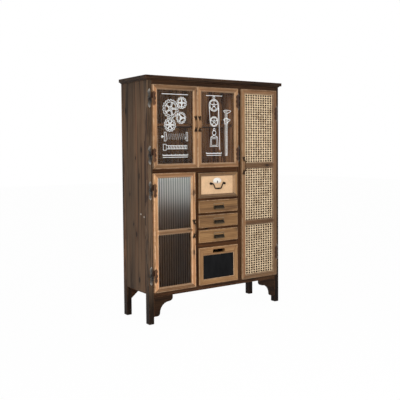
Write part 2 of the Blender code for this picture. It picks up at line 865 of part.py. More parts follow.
def make_doors():
    leaves = make_hinges()
    bars = {
        "reeded": [(REED_BAR_Z, REED_BAR_H)],
        "tall": [(CANE_BAR_LOW_Z, CANE_BAR_LOW_H), (CANE_BAR_HIGH_Z, CANE_BAR_HIGH_H)],
    }
    pull_z = {"reeded": REED_BOW_Z, "tall": TALL_BOW_Z}
    short, long = bow_mesh(BOW_SHORT), bow_mesh(BOW_LONG)
    pane_y = DOOR_FRONT_Y + PANE_SET_IN
    for door, (x0, x1, z0, z1, out, _) in DOORS.items():
        frame, (px0, px1, pz0, pz1) = door_frame(f"door_frame_{door}", x0, x1, z0, z1, bars.get(door, []))
        if door == "reeded":
            pitch = (px1 - px0) / REEDS
            loop = [(px1, pane_y + PANE_T), (px0, pane_y + PANE_T)]
            for i in range(REEDS * 4 + 1):
                dip = REED_DEPTH * (0.5 + 0.5 * math.cos(2 * math.pi * i / 4))
                loop.append((px0 + i * pitch / 4, pane_y + dip))
            panel = outline("pane_reeded", [loop], "Z", pz0, pz1, GLASS_LOOK)
        elif door == "tall":
            panel = cane_net("cane_panel", px0, px1, pane_y, pane_y + CANE_T, pz0, pz1, (CANE, 0.75))
        else:
            panel = block(f"pane_{door}", px0, px1, pane_y, pane_y + PANE_T, pz0, pz1, GLASS_LOOK)
        pull_x = x1 - BOW_EDGE if out < 0 else x0 + BOW_EDGE
        at = (pull_x, DOOR_FRONT_Y - FIT, pull_z.get(door, UPPER_BOW_Z))
        pull = copy_of(f"pull_{door}", long if door in pull_z else short, at, BRONZE_LOOK)
        round_edges(pull)
        axis_x = (x0 if out < 0 else x1) + out * AXIS_OUT
        empty = body_empty(f"axis_door_{door}", (axis_x, AXIS_Y, (z0 + z1) / 2))
        hang(empty, [frame, panel, pull, *leaves[door]])


# Drawers


def drawer_box(name, low, high, look):
    """A drawer's front board with its tray, open at the top."""
    x0, x1 = BAY_LEFT + DRAWER_GAP, BAY_RIGHT - DRAWER_GAP
    front_y = FRONT_Y - DRAWER_PROUD
    back_y = front_y + DRAWER_FRONT_T
    front = block(name, x0, x1, front_y, back_y, low + DRAWER_GAP, high - DRAWER_GAP, look, EDGE)
    tray_x0, tray_x1 = BAY_LEFT + TRAY_SIDE_GAP, BAY_RIGHT - TRAY_SIDE_GAP
    tray_z0 = low + SLIDE_GAP
    tray_z1 = high - TRAY_TOP_GAP
    end_y = INNER_BACK_Y - TRAY_BACK_GAP
    tray = block(
        f"{name}_tray", tray_x0, tray_x1, back_y - DRAWER_FRONT_T / 4, end_y, tray_z0, tray_z1
    )
    combine(front, tray, "UNION")
    hollow = block(
        f"{name}_hollow",
        tray_x0 + TRAY_SIDE_T,
        tray_x1 - TRAY_SIDE_T,
        back_y,
        end_y - TRAY_SIDE_T,
        tray_z0 + TRAY_BASE_T,
        high + CUT,
    )
    combine(front, hollow, "DIFFERENCE")
    return front, (x0, x1, low + DRAWER_GAP, high - DRAWER_GAP)


def cup_mesh():
    """A card-frame pull with a hooded finger lip, its back at y 0 and its middle at the origin."""
    half_w, half_h, corner = CUP_W / 2, CUP_H / 2, 0.25 * CUP_RIM

    def rectangle(w, h, z, cut):
        return [
            (-w, z - h + cut), (-w + cut, z - h), (w - cut, z - h), (w, z - h + cut),
            (w, z + h - cut), (w - cut, z + h), (-w + cut, z + h), (-w, z + h - cut),
        ]

    window_h = (CUP_H - CUP_LIP_RISE - 2 * CUP_RIM) / 2
    window_z = half_h - CUP_RIM - window_h
    loops = [
        rectangle(half_w, half_h, 0.0, CUP_RIM / 2),
        rectangle(half_w - CUP_RIM, window_h, window_z, corner),
    ]
    plate = outline("cup_plate", loops, "Y", -CUP_PLATE_T, 0.0)
    low, rise = -half_h, CUP_LIP_RISE
    steps = 8

    def arc(shrink):
        for i in range(steps + 1):
            angle = math.pi / 2 * i / steps
            yield -(CUP_REACH - shrink) * math.sin(angle), low + (rise - shrink) * math.cos(angle)

    outer, inner = list(arc(0.0)), list(arc(CUP_SHELL_T))
    sunk = -0.5 * CUP_PLATE_T
    hood = [(sunk, low + rise)] + outer[1:] + list(reversed(inner))[:-1] + [(sunk, low + rise - CUP_SHELL_T)]
    half_lip = CUP_LIP_W / 2
    combine(plate, outline("cup_hood", [hood], "X", -half_lip, half_lip), "UNION")
    cheek = [(sunk, low + rise - 0.4 * CUP_SHELL_T)]
    cheek += [(y, z) for y, z in arc(0.4 * CUP_SHELL_T)][1:] + [(sunk, low)]
    for sign in (-1, 1):
        near, far = sorted((sign * (half_lip - CUP_SHELL_T), sign * (half_lip + CUP_SHELL_T / 4)))
        combine(plate, outline(f"cup_cheek_{sign}", [cheek], "X", near, far), "UNION")
    return baked(plate)


def peg(name, radius, x, z, y0, y1, sides=10):
    bpy.ops.mesh.primitive_cylinder_add(vertices=sides, radius=radius, depth=abs(y1 - y0))
    obj = bpy.context.object
    obj.name = name
    obj.data.transform(Matrix.Rotation(math.pi / 2, 4, "X"))
    obj.location = (x, (y0 + y1) / 2, z)
    return helper(obj)


def bail_handle(x, z, face):
    """Lobed back plate with two posts, and the bail that swings between them."""
    turn = []
    for i in range(PLATE_LOBES * 4):
        angle = 2 * math.pi * i / (PLATE_LOBES * 4)
        lobe = 0.94 + 0.06 * abs(math.cos(PLATE_LOBES * angle / 2))
        turn.append(
            (x + PLATE_W / 2 * lobe * math.cos(angle), z + PLATE_RISE + PLATE_H / 2 * lobe * math.sin(angle))
        )
    keyhole = []
    for i in range(9):
        angle = math.radians(-60 + 300 * i / 8)
        keyhole.append((x + KEYHOLE_R * math.cos(angle), z + PLATE_RISE + KEYHOLE_R * math.sin(angle)))
    keyhole += [
        (x - 0.75 * KEYHOLE_R, z + PLATE_RISE - 2.8 * KEYHOLE_R),
        (x + 0.75 * KEYHOLE_R, z + PLATE_RISE - 2.8 * KEYHOLE_R),
    ]
    plate = outline("bail_plate", [turn, keyhole], "Y", face - PLATE_T, face, (NICKEL, 0.35, 0.7))
    half = BAIL_SPAN / 2
    strap = block(
        "bail_strap", x - half, x + half, face - 0.6 * PLATE_T, face, z - STRAP_H / 2, z + STRAP_H / 2
    )
    combine(plate, strap, "UNION")
    axis_y = face - BAIL_OUT
    for sign in (-1, 1):
        spot = x + sign * half
        combine(plate, peg(f"bail_rose_{sign}", 1.25 * BAIL_HEAD_R, spot, z, face - 0.8 * PLATE_T, face), "UNION")
        combine(plate, peg(f"bail_stem_{sign}", BAIL_STEM_R, spot, z, face - 0.2 * PLATE_T, axis_y), "UNION")
        bpy.ops.mesh.primitive_uv_sphere_add(
            segments=10, ring_count=6, radius=BAIL_HEAD_R, location=(spot, axis_y, z)
        )
        head = bpy.context.object
        head.name = f"bail_head_{sign}"
        combine(plate, helper(head), "UNION")
    round_edges(plate)

    data = bpy.data.curves.new("bail", "CURVE")
    data.dimensions = "3D"
    data.bevel_depth = BAIL_R
    data.bevel_resolution = 2
    data.use_fill_caps = True
    spline = data.splines.new("POLY")
    count = 20
    spline.points.add(count)
    wide = half - BAIL_HEAD_R - BAIL_PLAY
    for i, point in enumerate(spline.points):
        # shares of the half span: a flat grip in the middle, then the neck up to the posts
        along = 2 * i / count - 1
        neck = min(max((abs(along) - BAIL_FLAT) / BAIL_NECK, 0), 1)
        point.co = (x + wide * along, axis_y, z - BAIL_DROP * math.cos(math.pi / 2 * neck) ** 2, 1)
        point.radius = 1 + (BAIL_BULGE - 1) * math.cos(math.pi / 2 * along) ** 4
    curve = bpy.data.objects.new("bail", data)
    CUTTERS.objects.link(curve)
    bail = round_edges(as_mesh(curve, BRONZE_LOOK))
    return plate, bail, (x, axis_y, z)


def make_drawers():
    cup = cup_mesh()
    openings = drawer_openings()
    last = len(openings)
    front_y = FRONT_Y - DRAWER_PROUD
    for number, (low, high) in enumerate(openings, 1):
        plain = 1 < number < last
        name = f"drawer_{number}"
        box, (x0, x1, z0, z1) = drawer_box(name, low, high, DEEP_FIR_LOOK if plain else FIR_LOOK)
        pieces = [box]
        empty = body_empty(f"slide_{name}", (BAY_X, front_y, (z0 + z1) / 2))
        if plain:
            at = (BAY_X, front_y - FIT, (z0 + z1) / 2)
            pull = copy_of(f"cup_pull_{number}", cup, at, IRON_LOOK)
            pieces.append(round_edges(pull))
        elif number == 1:
            in_x0, in_x1 = x0 + WOVEN_SIDE, x1 - WOVEN_SIDE
            in_z0, in_z1 = z0 + WOVEN_BORDER, z1 - WOVEN_BORDER
            floor_y = front_y + WOVEN_SUNK + WOVEN_T + FIT
            pocket = tapered_cut(
                "drawer_1_pocket",
                in_x0, in_x1, front_y - CUT, front_y + WOVEN_SUNK, in_z0, in_z1,
                WOVEN_SLOPE * (WOVEN_SUNK + CUT) / WOVEN_SUNK,
            )
            combine(box, pocket, "DIFFERENCE")
            seat = block("drawer_1_seat", in_x0, in_x1, front_y, floor_y, in_z0, in_z1)
            combine(box, seat, "DIFFERENCE")
            face = floor_y - FIT - WOVEN_T
            panel = block(
                "woven_panel",
                in_x0 + FIT, in_x1 - FIT, face, floor_y - FIT, in_z0 + FIT, in_z1 - FIT,
                (RAFFIA, 0.85),
            )
            plate, bail, pivot = bail_handle(BAY_X, (z0 + z1) / 2 + BAIL_LIFT, face - FIT)
            swing = body_empty("axis_bail", pivot)
            hang(swing, [bail])
            hang(empty, [swing])
            pieces += [panel, plate]
        else:
            in_x0, in_x1 = x0 + SLATE_SIDE, x1 - SLATE_SIDE
            in_z0, in_z1 = z0 + SLATE_BOTTOM, z1 - SLATE_TOP
            floor_y = front_y + SLATE_SUNK + SLATE_T + FIT
            pocket = tapered_cut(
                f"{name}_pocket",
                in_x0, in_x1, front_y - CUT, front_y + SLATE_SUNK, in_z0, in_z1,
                SLATE_SLOPE * (SLATE_SUNK + CUT) / SLATE_SUNK,
            )
            combine(box, pocket, "DIFFERENCE")
            seat = block(f"{name}_seat", in_x0, in_x1, front_y, floor_y, in_z0, in_z1)
            combine(box, seat, "DIFFERENCE")
            panel = block(
                "slate_panel",
                in_x0 + FIT, in_x1 - FIT, floor_y - FIT - SLATE_T, floor_y - FIT, in_z0 + FIT, in_z1 - FIT,
                (SLATE, 0.8),
            )
            slot_top = z1 - SLOT_TO_TOP
            slot = block(
                f"{name}_slot",
                BAY_X - SLOT_W / 2, BAY_X + SLOT_W / 2,
                front_y - CUT, front_y + DRAWER_FRONT_T + CUT,
                slot_top - SLOT_H, slot_top,
            )
            round_off = slot.modifiers.new("Round ends", "BEVEL")
            round_off.width = 0.24 * SLOT_H
            round_off.segments = 3
            round_off.limit_method = "WEIGHT"
            weights = slot.data.attributes.new("bevel_weight_edge", "FLOAT", "EDGE")
            for edge in slot.data.edges:
                a, b = (slot.data.vertices[i].co for i in edge.vertices)
                weights.data[edge.index].value = 1.0 if abs(a.y - b.y) > CUT else 0.0
            combine(box, slot, "DIFFERENCE")
            pieces.append(panel)
        hang(empty, pieces)


make_carcass()
make_front_frame()
make_feet()
make_doors()
make_drawers()
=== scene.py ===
"""Looks of the glass display cabinet: finishes, woven panels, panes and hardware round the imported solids."""

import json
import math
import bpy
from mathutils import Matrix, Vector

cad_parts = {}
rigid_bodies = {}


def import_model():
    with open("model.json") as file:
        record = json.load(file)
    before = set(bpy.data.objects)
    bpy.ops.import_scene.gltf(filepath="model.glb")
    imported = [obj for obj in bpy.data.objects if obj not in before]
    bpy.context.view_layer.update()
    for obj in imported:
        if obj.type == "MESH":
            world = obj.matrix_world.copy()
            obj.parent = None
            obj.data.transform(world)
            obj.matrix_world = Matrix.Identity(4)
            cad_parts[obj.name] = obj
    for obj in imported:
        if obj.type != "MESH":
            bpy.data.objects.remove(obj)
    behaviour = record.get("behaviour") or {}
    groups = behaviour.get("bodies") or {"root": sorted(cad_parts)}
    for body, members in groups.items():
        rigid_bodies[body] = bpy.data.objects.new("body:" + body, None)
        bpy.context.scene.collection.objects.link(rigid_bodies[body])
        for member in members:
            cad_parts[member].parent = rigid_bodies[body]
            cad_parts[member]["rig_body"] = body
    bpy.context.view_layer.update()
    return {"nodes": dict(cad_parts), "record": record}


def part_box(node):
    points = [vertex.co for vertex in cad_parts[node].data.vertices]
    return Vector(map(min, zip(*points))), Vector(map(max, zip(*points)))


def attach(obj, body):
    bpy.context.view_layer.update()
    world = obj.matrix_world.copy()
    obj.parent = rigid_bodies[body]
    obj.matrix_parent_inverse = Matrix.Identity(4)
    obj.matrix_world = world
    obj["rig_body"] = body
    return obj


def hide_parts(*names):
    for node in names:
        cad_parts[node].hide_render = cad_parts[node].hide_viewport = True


bl_info = {
    "name": "Glass Display Cabinet",
    "version": (1, 0, 0),
    "blender": (4, 5, 0),
    "location": "View3D > Sidebar > Cabinet",
    "description": "Dresses a display cabinet with worn timber, woven cane, raffia, glass and old hardware",
    "category": "Object",
}

from functools import partialmethod

import bpy
from bpy.props import FloatProperty, FloatVectorProperty, IntProperty, PointerProperty
from mathutils import Matrix, Vector

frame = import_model()
NODES = frame["nodes"]
DOORS = ("upper_left", "upper_right", "reeded", "tall")
WHITE = (1.0, 1.0, 1.0)
SEED_STEP = 2.37

# Lengths in metres
FRAME_W = 0.032
DRAWER_FRONT_T = 0.026
MITRE_LINE = (0.0002, 0.0011)
CHIP_W = 0.011
CHIP_H = 0.0065
SOFT_EDGE = 0.0004
MERGE = 1e-5
CANE_INSET = 0.0008
CANE_GAP = 0.0006
CANE_T = 0.0007
RAFFIA_OUT = 0.0006
RAFFIA_LIFT = 0.00035
RAFFIA_T = 0.0004
LINE_OUT = 0.0003
TICK = 0.005
LONG_TICK = 0.009
BALL_R = 0.0082
POST_INSET = 0.01025
PLATE_T = 0.0010
KEYHOLE_R = 0.0034


def srgb(r, g, b):
    """A written screen colour, 0 to 255, as a linear one."""
    return tuple(((c / 255 + 0.055) / 1.055) ** 2.4 if c > 10 else c / 255 / 12.92 for c in (r, g, b))


def toned(rgb, *shares):
    """A colour times one share, or times a share for each channel."""
    return tuple(c * shares[k % len(shares)] for k, c in enumerate(rgb))


def stained(tones, *shares):
    return tuple(toned(rgb, *shares) for rgb in tones)


def colour(name, description, rgb):
    return FloatVectorProperty(
        name=name, description=description, subtype="COLOR", size=3, min=0.0, max=1.0, default=srgb(*rgb)
    )


def length_prop(name, description, metres):
    return FloatProperty(
        name=name, description=description, default=metres, min=0.0, unit="LENGTH", subtype="DISTANCE",
        precision=5,
    )


def angle_prop(name, description, degrees):
    return FloatProperty(name=name, description=description, subtype="ANGLE", default=math.radians(degrees))


def power_prop(name, description, watts):
    return FloatProperty(name=name, description=description, subtype="POWER", default=watts)


class CabinetFinishes(bpy.types.PropertyGroup):
    """Colours of the timber, weaves and metals."""

    walnut_dark: colour("Walnut Dark", "Deep streaks of the stained carcass", (24, 15, 10))
    walnut_mid: colour("Walnut", "Middle tone of the stained carcass", (66, 48, 36))
    walnut_light: colour("Walnut Light", "Pale streaks of the stained carcass", (118, 93, 72))
    fir_dark: colour("Fir Dark", "Late growth lines of doors and drawers", (84, 54, 32))
    fir_mid: colour("Fir", "Middle tone of doors and drawers", (140, 98, 64))
    fir_light: colour("Fir Light", "Early growth of doors and drawers", (174, 130, 91))
    rubbed: colour("Rubbed Edge", "Bare timber where the edges are rubbed", (200, 166, 132))
    tray: colour("Tray", "Unstained timber of the drawer trays", (176, 138, 98))
    cane: colour("Cane", "Peeled cane strands", (232, 206, 170))
    cane_shade: colour("Cane Shade", "Darker strands and fibres of the cane", (178, 148, 114))
    # also paints the reflection of the raffia on the lower part of the lobed plate
    raffia: colour("Raffia", "Straw of the top drawer's panel", (224, 187, 147))
    slate: colour("Chalkboard", "Chalkboard paint", (20, 20, 21))
    iron: colour("Iron", "Aged iron of the hinges' post leaves", (38, 34, 32))
    # also paints the highlights at the ends of the post leaves
    iron_bright: colour("Iron Rubbed", "Iron where it is rubbed bright", (188, 184, 176))
    bronze: colour("Bronze", "Browned metal of the pulls", (44, 31, 22))
    bronze_bright: colour("Bronze Rubbed", "Browned metal where it is rubbed", (150, 114, 80))
    leaf: colour("Door Leaf", "Reddish metal of the hinges' door leaves", (60, 36, 22))
    # also paints the highlights at the ends of the door leaves
    leaf_bright: colour("Door Leaf Rubbed", "Door leaves where they are rubbed", (112, 76, 50))
    olive: colour("Card Pull", "Olive-black metal of the card-frame pulls", (38, 31, 22))
    # also paints the highlights on the card pulls' top edges and lower rims
    olive_bright: colour("Card Pull Rubbed", "Card-frame pulls where they are rubbed", (168, 142, 110))
    nickel: colour("Nickel", "Lobed plate of the top drawer", (240, 237, 231))
    enamel: colour("White Line", "Line design fired on the clear panes", (250, 250, 247))


class CabinetSizes(bpy.types.PropertyGroup):
    """Sizes of the woven panels, the reeds, the lobed plate and the line design."""

    cane_pitch_x: length_prop("Cane Pitch Across", "Distance between upright strands", 0.0222)
    cane_pitch_z: length_prop("Cane Pitch Up", "Distance between level strands", 0.0165)
    cane_upright: length_prop("Cane Upright", "Width of one upright strand of a pair", 0.0033)
    cane_level: length_prop("Cane Level", "Width of one level strand of a pair", 0.0025)
    cane_lift: length_prop("Cane Lift", "How far a strand rises over the next", 0.00065)
    raffia_pitch: length_prop("Raffia Pitch", "Distance between raffia strands", 0.0056)
    reeds: IntProperty(
        name="Reeds", description="Number of reeds across the reeded pane", default=15, min=4, max=80
    )
    plate_width: length_prop("Plate Width", "Width of the top drawer's lobed plate", 0.070)
    reed_rise: length_prop("Reed Rise", "Height of a reed over the valleys", 0.0015)
    line_width: length_prop("Line Width", "Width of the white lines on the panes", 0.0044)


class CabinetStage(bpy.types.PropertyGroup):
    """Camera and light."""

    camera_at: FloatVectorProperty(
        name="Camera", description="Camera position", subtype="TRANSLATION", unit="LENGTH", size=3,
        default=(-2.5885, -3.6922, 1.1443),
    )
    yaw: angle_prop("Yaw", "Turn of the view to the right", 34.57)
    pitch: angle_prop("Pitch", "Tilt of the view downwards", 2.97)
    roll: angle_prop("Roll", "Roll of the view", 0.45)
    lens: FloatProperty(name="Lens", description="Focal length in millimetres", default=57.735, min=10.0)
    rise: FloatProperty(name="Rise", description="Vertical shift of the lens", default=-0.05)
    key: power_prop("Key Light", "Strength of the tall softbox", 54.0)
    fill: power_prop("Fill Light", "Strength of the overhead softbox", 21.0)
    front: power_prop("Front Light", "Strength of the front softbox", 33.0)
    near: power_prop("Reed Light", "Strength of the reed panel", 9.8)
    sky: FloatProperty(name="Sky", description="Strength of the even light all round", default=0.36, min=0.0)


def finishes():
    return bpy.context.scene.cabinet_finishes


def sizes():
    return bpy.context.scene.cabinet_sizes


# Node helpers


class Net:
    """Node tree of a new material, or of a world, with short calls for the nodes used here."""

    def __init__(self, name="", world=None):
        self.owner = world or bpy.data.materials.new(name)
        self.owner.use_nodes = True
        self.tree = self.owner.node_tree
        self.shader = self.tree.nodes["Background" if world else "Principled BSDF"]
        self.output = self.tree.nodes["World Output" if world else "Material Output"]

    def feed(self, socket, value):
        if isinstance(value, bpy.types.NodeSocket):
            self.tree.links.new(value, socket)
        elif value is not None:
            socket.default_value = (*value, 1.0) if socket.type == "RGBA" else value

    def put(self, node, **settings):
        """Sets a node's settings, and its sockets, whose names start with a capital."""
        for key, value in settings.items():
            if key[0].isupper():
                self.feed(node.inputs[key.replace("_", " ")], value)
            else:
                setattr(node, key, value)
        return node

    def add(self, kind, *values, **settings):
        """A new node, with the values fed to its first sockets."""
        node = self.put(self.tree.nodes.new("ShaderNode" + kind), **settings)
        for socket, value in zip(node.inputs, values):
            self.feed(socket, value)
        return node

    def set(self, **sockets):
        self.put(self.shader, **sockets)

    def math(self, operation, a, b=0.0, c=0.0, clamp=False):
        return self.add("Math", a, b, c, operation=operation, use_clamp=clamp).outputs[0]

    plus = partialmethod(math, "ADD")
    sub = partialmethod(math, "SUBTRACT")
    mul = partialmethod(math, "MULTIPLY")
    madd = partialmethod(math, "MULTIPLY_ADD")
    div = partialmethod(math, "DIVIDE")
    least = partialmethod(math, "MINIMUM")
    most = partialmethod(math, "MAXIMUM")
    under = partialmethod(math, "LESS_THAN")
    over = partialmethod(math, "GREATER_THAN")
    size = partialmethod(math, "ABSOLUTE")

    def mix(self, factor, a, b):
        """Blend of two numbers."""
        return self.add("Mix", factor, None, a, b, data_type="FLOAT").outputs[0]

    def tint(self, factor, a, b, blend="MIX"):
        """Blend of two colours."""
        node = self.add("Mix", factor, data_type="RGBA", blend_type=blend)
        self.feed(node.inputs[6], a)
        self.feed(node.inputs[7], b)
        return node.outputs[2]

    def step(self, value, low, high, to_low=0.0, to_high=1.0):
        """Smooth change of a number between two limits."""
        limits = (low, high, to_low, to_high)
        return self.add("MapRange", value, *limits, interpolation_type="SMOOTHSTEP").outputs[0]

    def ramp(self, value, *stops):
        node = self.add("ValToRGB", value)
        points = node.color_ramp.elements
        while len(points) < len(stops):
            points.new(0.5)
        for point, (at, rgb) in zip(points, stops):
            point.position = at
            point.color = (*rgb, 1.0)
        return node.outputs[0]

    def split(self, vector):
        return self.add("SeparateXYZ", vector).outputs

    def join(self, x=0.0, y=0.0, z=0.0):
        return self.add("CombineXYZ", x, y, z).outputs[0]

    def place(self):
        return self.add("TexCoord").outputs["Object"]

    def scaled(self, vector, scale=(1, 1, 1), shift=(0, 0, 0)):
        return self.add("Mapping", vector, Location=shift, Scale=scale).outputs[0]

    def noise(self, vector, scale, detail=3.0, rough=0.55, distort=0.0):
        sockets = {"Scale": scale, "Detail": detail, "Roughness": rough, "Distortion": distort}
        return self.add("TexNoise", vector, **sockets).outputs[0]

    def bump(self, height, distance, strength):
        node = self.add("Bump", Strength=strength, Distance=distance, Height=height)
        self.set(Normal=node.outputs[0])

    def seen(self):
        """1 for rays from the camera, straight or by way of gloss and glass."""
        path = self.add("LightPath").outputs
        return self.most(path["Is Camera Ray"], self.most(path["Is Glossy Ray"], path["Is Transmission Ray"]))

    def end_in(self, factor, a, b):
        """Ends the tree in a blend of two shaders."""
        both = self.add("MixShader", factor, a.outputs[0], b.outputs[0])
        self.put(self.output, Surface=both.outputs[0])


# Materials


def edge_closeness(net, place, box, reach):
    """1 on the long edges of a board, falling to 0 at the reach."""
    low, high = box
    a, b, c = (
        net.least(net.sub(axis, low[i]), net.sub(high[i], axis)) for i, axis in enumerate(net.split(place))
    )
    middle = net.most(net.least(a, b), net.least(net.most(a, b), c))
    return net.step(middle, 0.0, reach, 1.0, 0.0)


def timber(
    name, tones, along, seed, box=None, planks=None, door=None, wear=0.5, reach=0.006, knots=0.6, bare=None,
    contrast=1.0, shine=0.35, streak=0.0, shades=(), grain_width=1.0, boards=None, behind=(), stile=None,
    scars=(),
):
    """Stained timber with growth lines, pores, knots and rubbed edges.

    box is the board whose edges are rubbed down to the bare tone; on a door frame its slopes are lightened
    to the bare tone too, which is a painted highlight as well as wear. planks is (axis, start, width) of
    boards glued side by side. door is the box of a frame whose stiles stand between rails, and boards
    holds the painted light and shade of its left stile, right stile, lower rail, upper rail and cross bars,
    each a share of the tone. stile is (left, right, top) of an upright piece among level ones. shades are
    (start, end, strength) of darker stretches up the board. behind are (axis, start, tint) of parts with
    another tone; on the carcass these tints are painted light and shade. grain_width widens the weathered
    streaks. scars are (y, z) of chips in the outer face.
    """
    net = Net(name)
    dark, mid, light = tones
    coords = net.add("TexCoord").outputs
    place = coords["Object"]
    x, y, z = net.split(place)
    across, depth, run = (x, y, z) if along == "Z" else (z, y, x)
    if door:
        low, high = door
        side = net.least(net.sub(x, low[0]), net.sub(high[0], x))
        ends = net.least(net.sub(z, low[2]), net.sub(high[2], z))
        upright = net.under(side, net.least(ends, FRAME_W))
        mitre = net.step(net.size(net.sub(side, ends)), *MITRE_LINE, 1.0, 0.0)
        mitre = net.mul(mitre, net.under(side, FRAME_W + 0.001))
    if stile:
        left, right, top = stile
        upright = net.mul(net.mul(net.over(x, left), net.under(x, right)), net.under(z, top))
    if door or stile:
        across = net.mix(upright, z, x)
        run = net.mix(upright, x, z)
    if door:
        # each stile and rail is cut from its own board
        half = net.over(across, net.mix(upright, (low[2] + high[2]) / 2, (low[0] + high[0]) / 2))
        board = net.plus(net.mul(upright, 3.7), net.mul(half, 5.3))
        run = net.plus(run, board)
        depth = net.plus(y, net.mul(board, 0.31))
    if planks:
        axis, start, width = planks
        index = net.math("FLOOR", net.div(net.sub((x, y, z)[axis], start), width))
        chance = net.add("TexWhiteNoise", noise_dimensions="1D", W=net.plus(index, seed))
        tone = chance.outputs["Value"]
        run = net.plus(run, net.mul(tone, 9.0))
        if axis == 1:
            across, depth = y, x
    body = net.join(across, depth, run)

    # knots first, because the growth lines bend round them
    bent = net.noise(net.scaled(body, (9, 9, 3), (seed, 0, 0)), 1.0, 2.0)
    flat = net.join(
        net.madd(across, 7.0, net.madd(bent, 0.05, seed)), net.madd(run, 3.1, net.mul(depth, 1.3))
    )
    spot = net.add("TexVoronoi", flat, voronoi_dimensions="2D", Scale=1.0).outputs
    pick = net.split(spot["Color"])
    present = net.under(pick[0], knots)
    closeness = net.div(spot["Distance"], net.madd(pick[1], 0.050, 0.030))
    knot = net.mul(net.step(closeness, 0.55, 1.15, 1.0, 0.0), present)
    halo = net.mul(net.step(closeness, 0.6, 3.6, 1.0, 0.0), present)

    # growth lines and pores, drawn out along the board
    grown = net.join(net.madd(halo, 0.012, across), depth, net.mul(run, 0.055))
    figure = net.noise(net.scaled(grown, shift=(seed, seed * 0.7, 0)), 30.0, 4.0, 0.6, 0.4)
    ripple = net.scaled(grown, (1, 0.6, 1.6), (seed * 0.3, 0, seed))
    wave = {"Scale": 26.0, "Distortion": 7.0, "Detail": 3.0, "Detail_Scale": 1.3}
    lines = net.add("TexWave", ripple, wave_profile="SAW", **wave).outputs["Fac"]
    pores = net.noise(net.scaled(grown, (1, 1, 0.55), (0, seed, 0)), 420.0, 5.0, 0.7)
    mixture = net.madd(figure, 0.62, net.madd(lines, 0.16 * contrast, 0.07 * contrast))
    mixture = net.madd(pores, 0.24 * contrast, mixture)
    centre, spread = 0.56, 0.20 / contrast
    look = net.ramp(mixture, (centre - spread, dark), (centre, mid), (centre + spread, light))

    if streak:
        # rubbed and weathered streaks along the grain
        drawn = net.join(across, depth, net.mul(run, 0.035))
        band = net.noise(net.scaled(drawn, shift=(seed * 1.3, 2, 0)), 62.0 / grain_width, 4.0, 0.65, 0.3)
        look = net.tint(net.step(band, 0.49, 0.61, 0.0, streak), look, toned(light, 1.25))
        look = net.tint(net.step(band, 0.36, 0.50, 0.75 * streak, 0.0), look, toned(dark, 0.8))
        warm = net.step(net.noise(net.scaled(drawn, shift=(seed, 7, 4)), 30.0, 2.0), 0.52, 0.68)
        look = net.tint(net.mul(warm, 0.36 + 0.1 * streak), look, (1.30, 0.88, 0.72), "MULTIPLY")
    plain = look
    for axis, start, rgb in behind:
        part = net.step((x, y, z)[axis], start, start + 0.0006)
        look = net.tint(part, look, net.tint(1.0, plain, rgb, "MULTIPLY"))
    for start, end, strength in shades:
        look = net.tint(net.step(z, start, end, strength, 0.0), look, toned(dark, 0.50, 0.34, 0.20))
    if planks:
        stain = net.ramp(tone, (0.0, (0.72, 0.70, 0.70)), (0.5, (1.0, 0.98, 0.97)), (1.0, (1.22, 1.10, 1.02)))
        look = net.tint(0.85, look, stain, "MULTIPLY")
    if stile:
        look = net.tint(upright, look, (0.60, 0.54, 0.46), "MULTIPLY")
    blotch = net.noise(net.scaled(place, (1, 1, 0.5), (seed, 0, 3)), 5.0, 3.0)
    patches = net.ramp(blotch, (0.3, (0.80, 0.79, 0.80)), (0.7, (1.14, 1.12, 1.10)))
    look = net.tint(0.8, look, patches, "MULTIPLY")
    marks = [(halo, 0.35, 0.8), (knot, 0.88, 0.42)]
    if door:
        marks.append((mitre, 0.75, 0.35))
    for mark, strength, share in marks:
        look = net.tint(net.mul(mark, strength), look, toned(dark, share))

    coarse = net.madd(pores, 0.22, 0.42)
    if box:
        scuff = net.noise(net.scaled(place, shift=(seed, 1, 2)), 38.0, 4.0, 0.65)
        rub_and_light = net.mul(edge_closeness(net, place, box, reach), net.step(scuff, 0.36, 0.62))
        if door:
            # the slopes towards the panel are lightened by their tilt, a painted highlight as well as rubbing
            facing = net.size(net.split(coords["Normal"])[1])
            slope = net.mul(net.step(facing, 0.25, 0.45), net.step(facing, 0.88, 0.97, 1.0, 0.0))
            rub_and_light = net.most(rub_and_light, net.mul(slope, net.step(scuff, 0.25, 0.65, 0.25, 0.8)))
        look = net.tint(net.mul(rub_and_light, wear), look, bare)
        coarse = net.madd(rub_and_light, 0.15, coarse)
    for at_y, at_z in scars:
        u = net.div(net.sub(y, at_y), CHIP_W)
        v = net.div(net.sub(z, at_z), CHIP_H)
        chip = net.step(net.madd(u, u, net.mul(v, v)), 0.35, 1.2, 1.0, 0.0)
        look = net.tint(net.mul(chip, net.under(x, behind[0][1])), look, srgb(182, 168, 154))
    # painted light and shade: each stile and rail is made lighter or darker as if lit or shaded
    if boards:
        left, right, lower, upper, bars = boards
        level = net.mix(net.over(ends, 1.25 * FRAME_W), net.mix(half, lower, upper), bars)
        share = net.mix(upright, level, net.mix(half, left, right))
        look = net.tint(1.0, look, net.join(share, share, share), "MULTIPLY")
    net.set(Base_Color=look, Specular_IOR_Level=shine, Roughness=coarse)
    height = net.madd(lines, 0.18, net.mul(pores, 0.65))
    net.bump(net.sub(height, net.mul(knot, 0.5)), 0.0006, 0.55)
    return net.owner


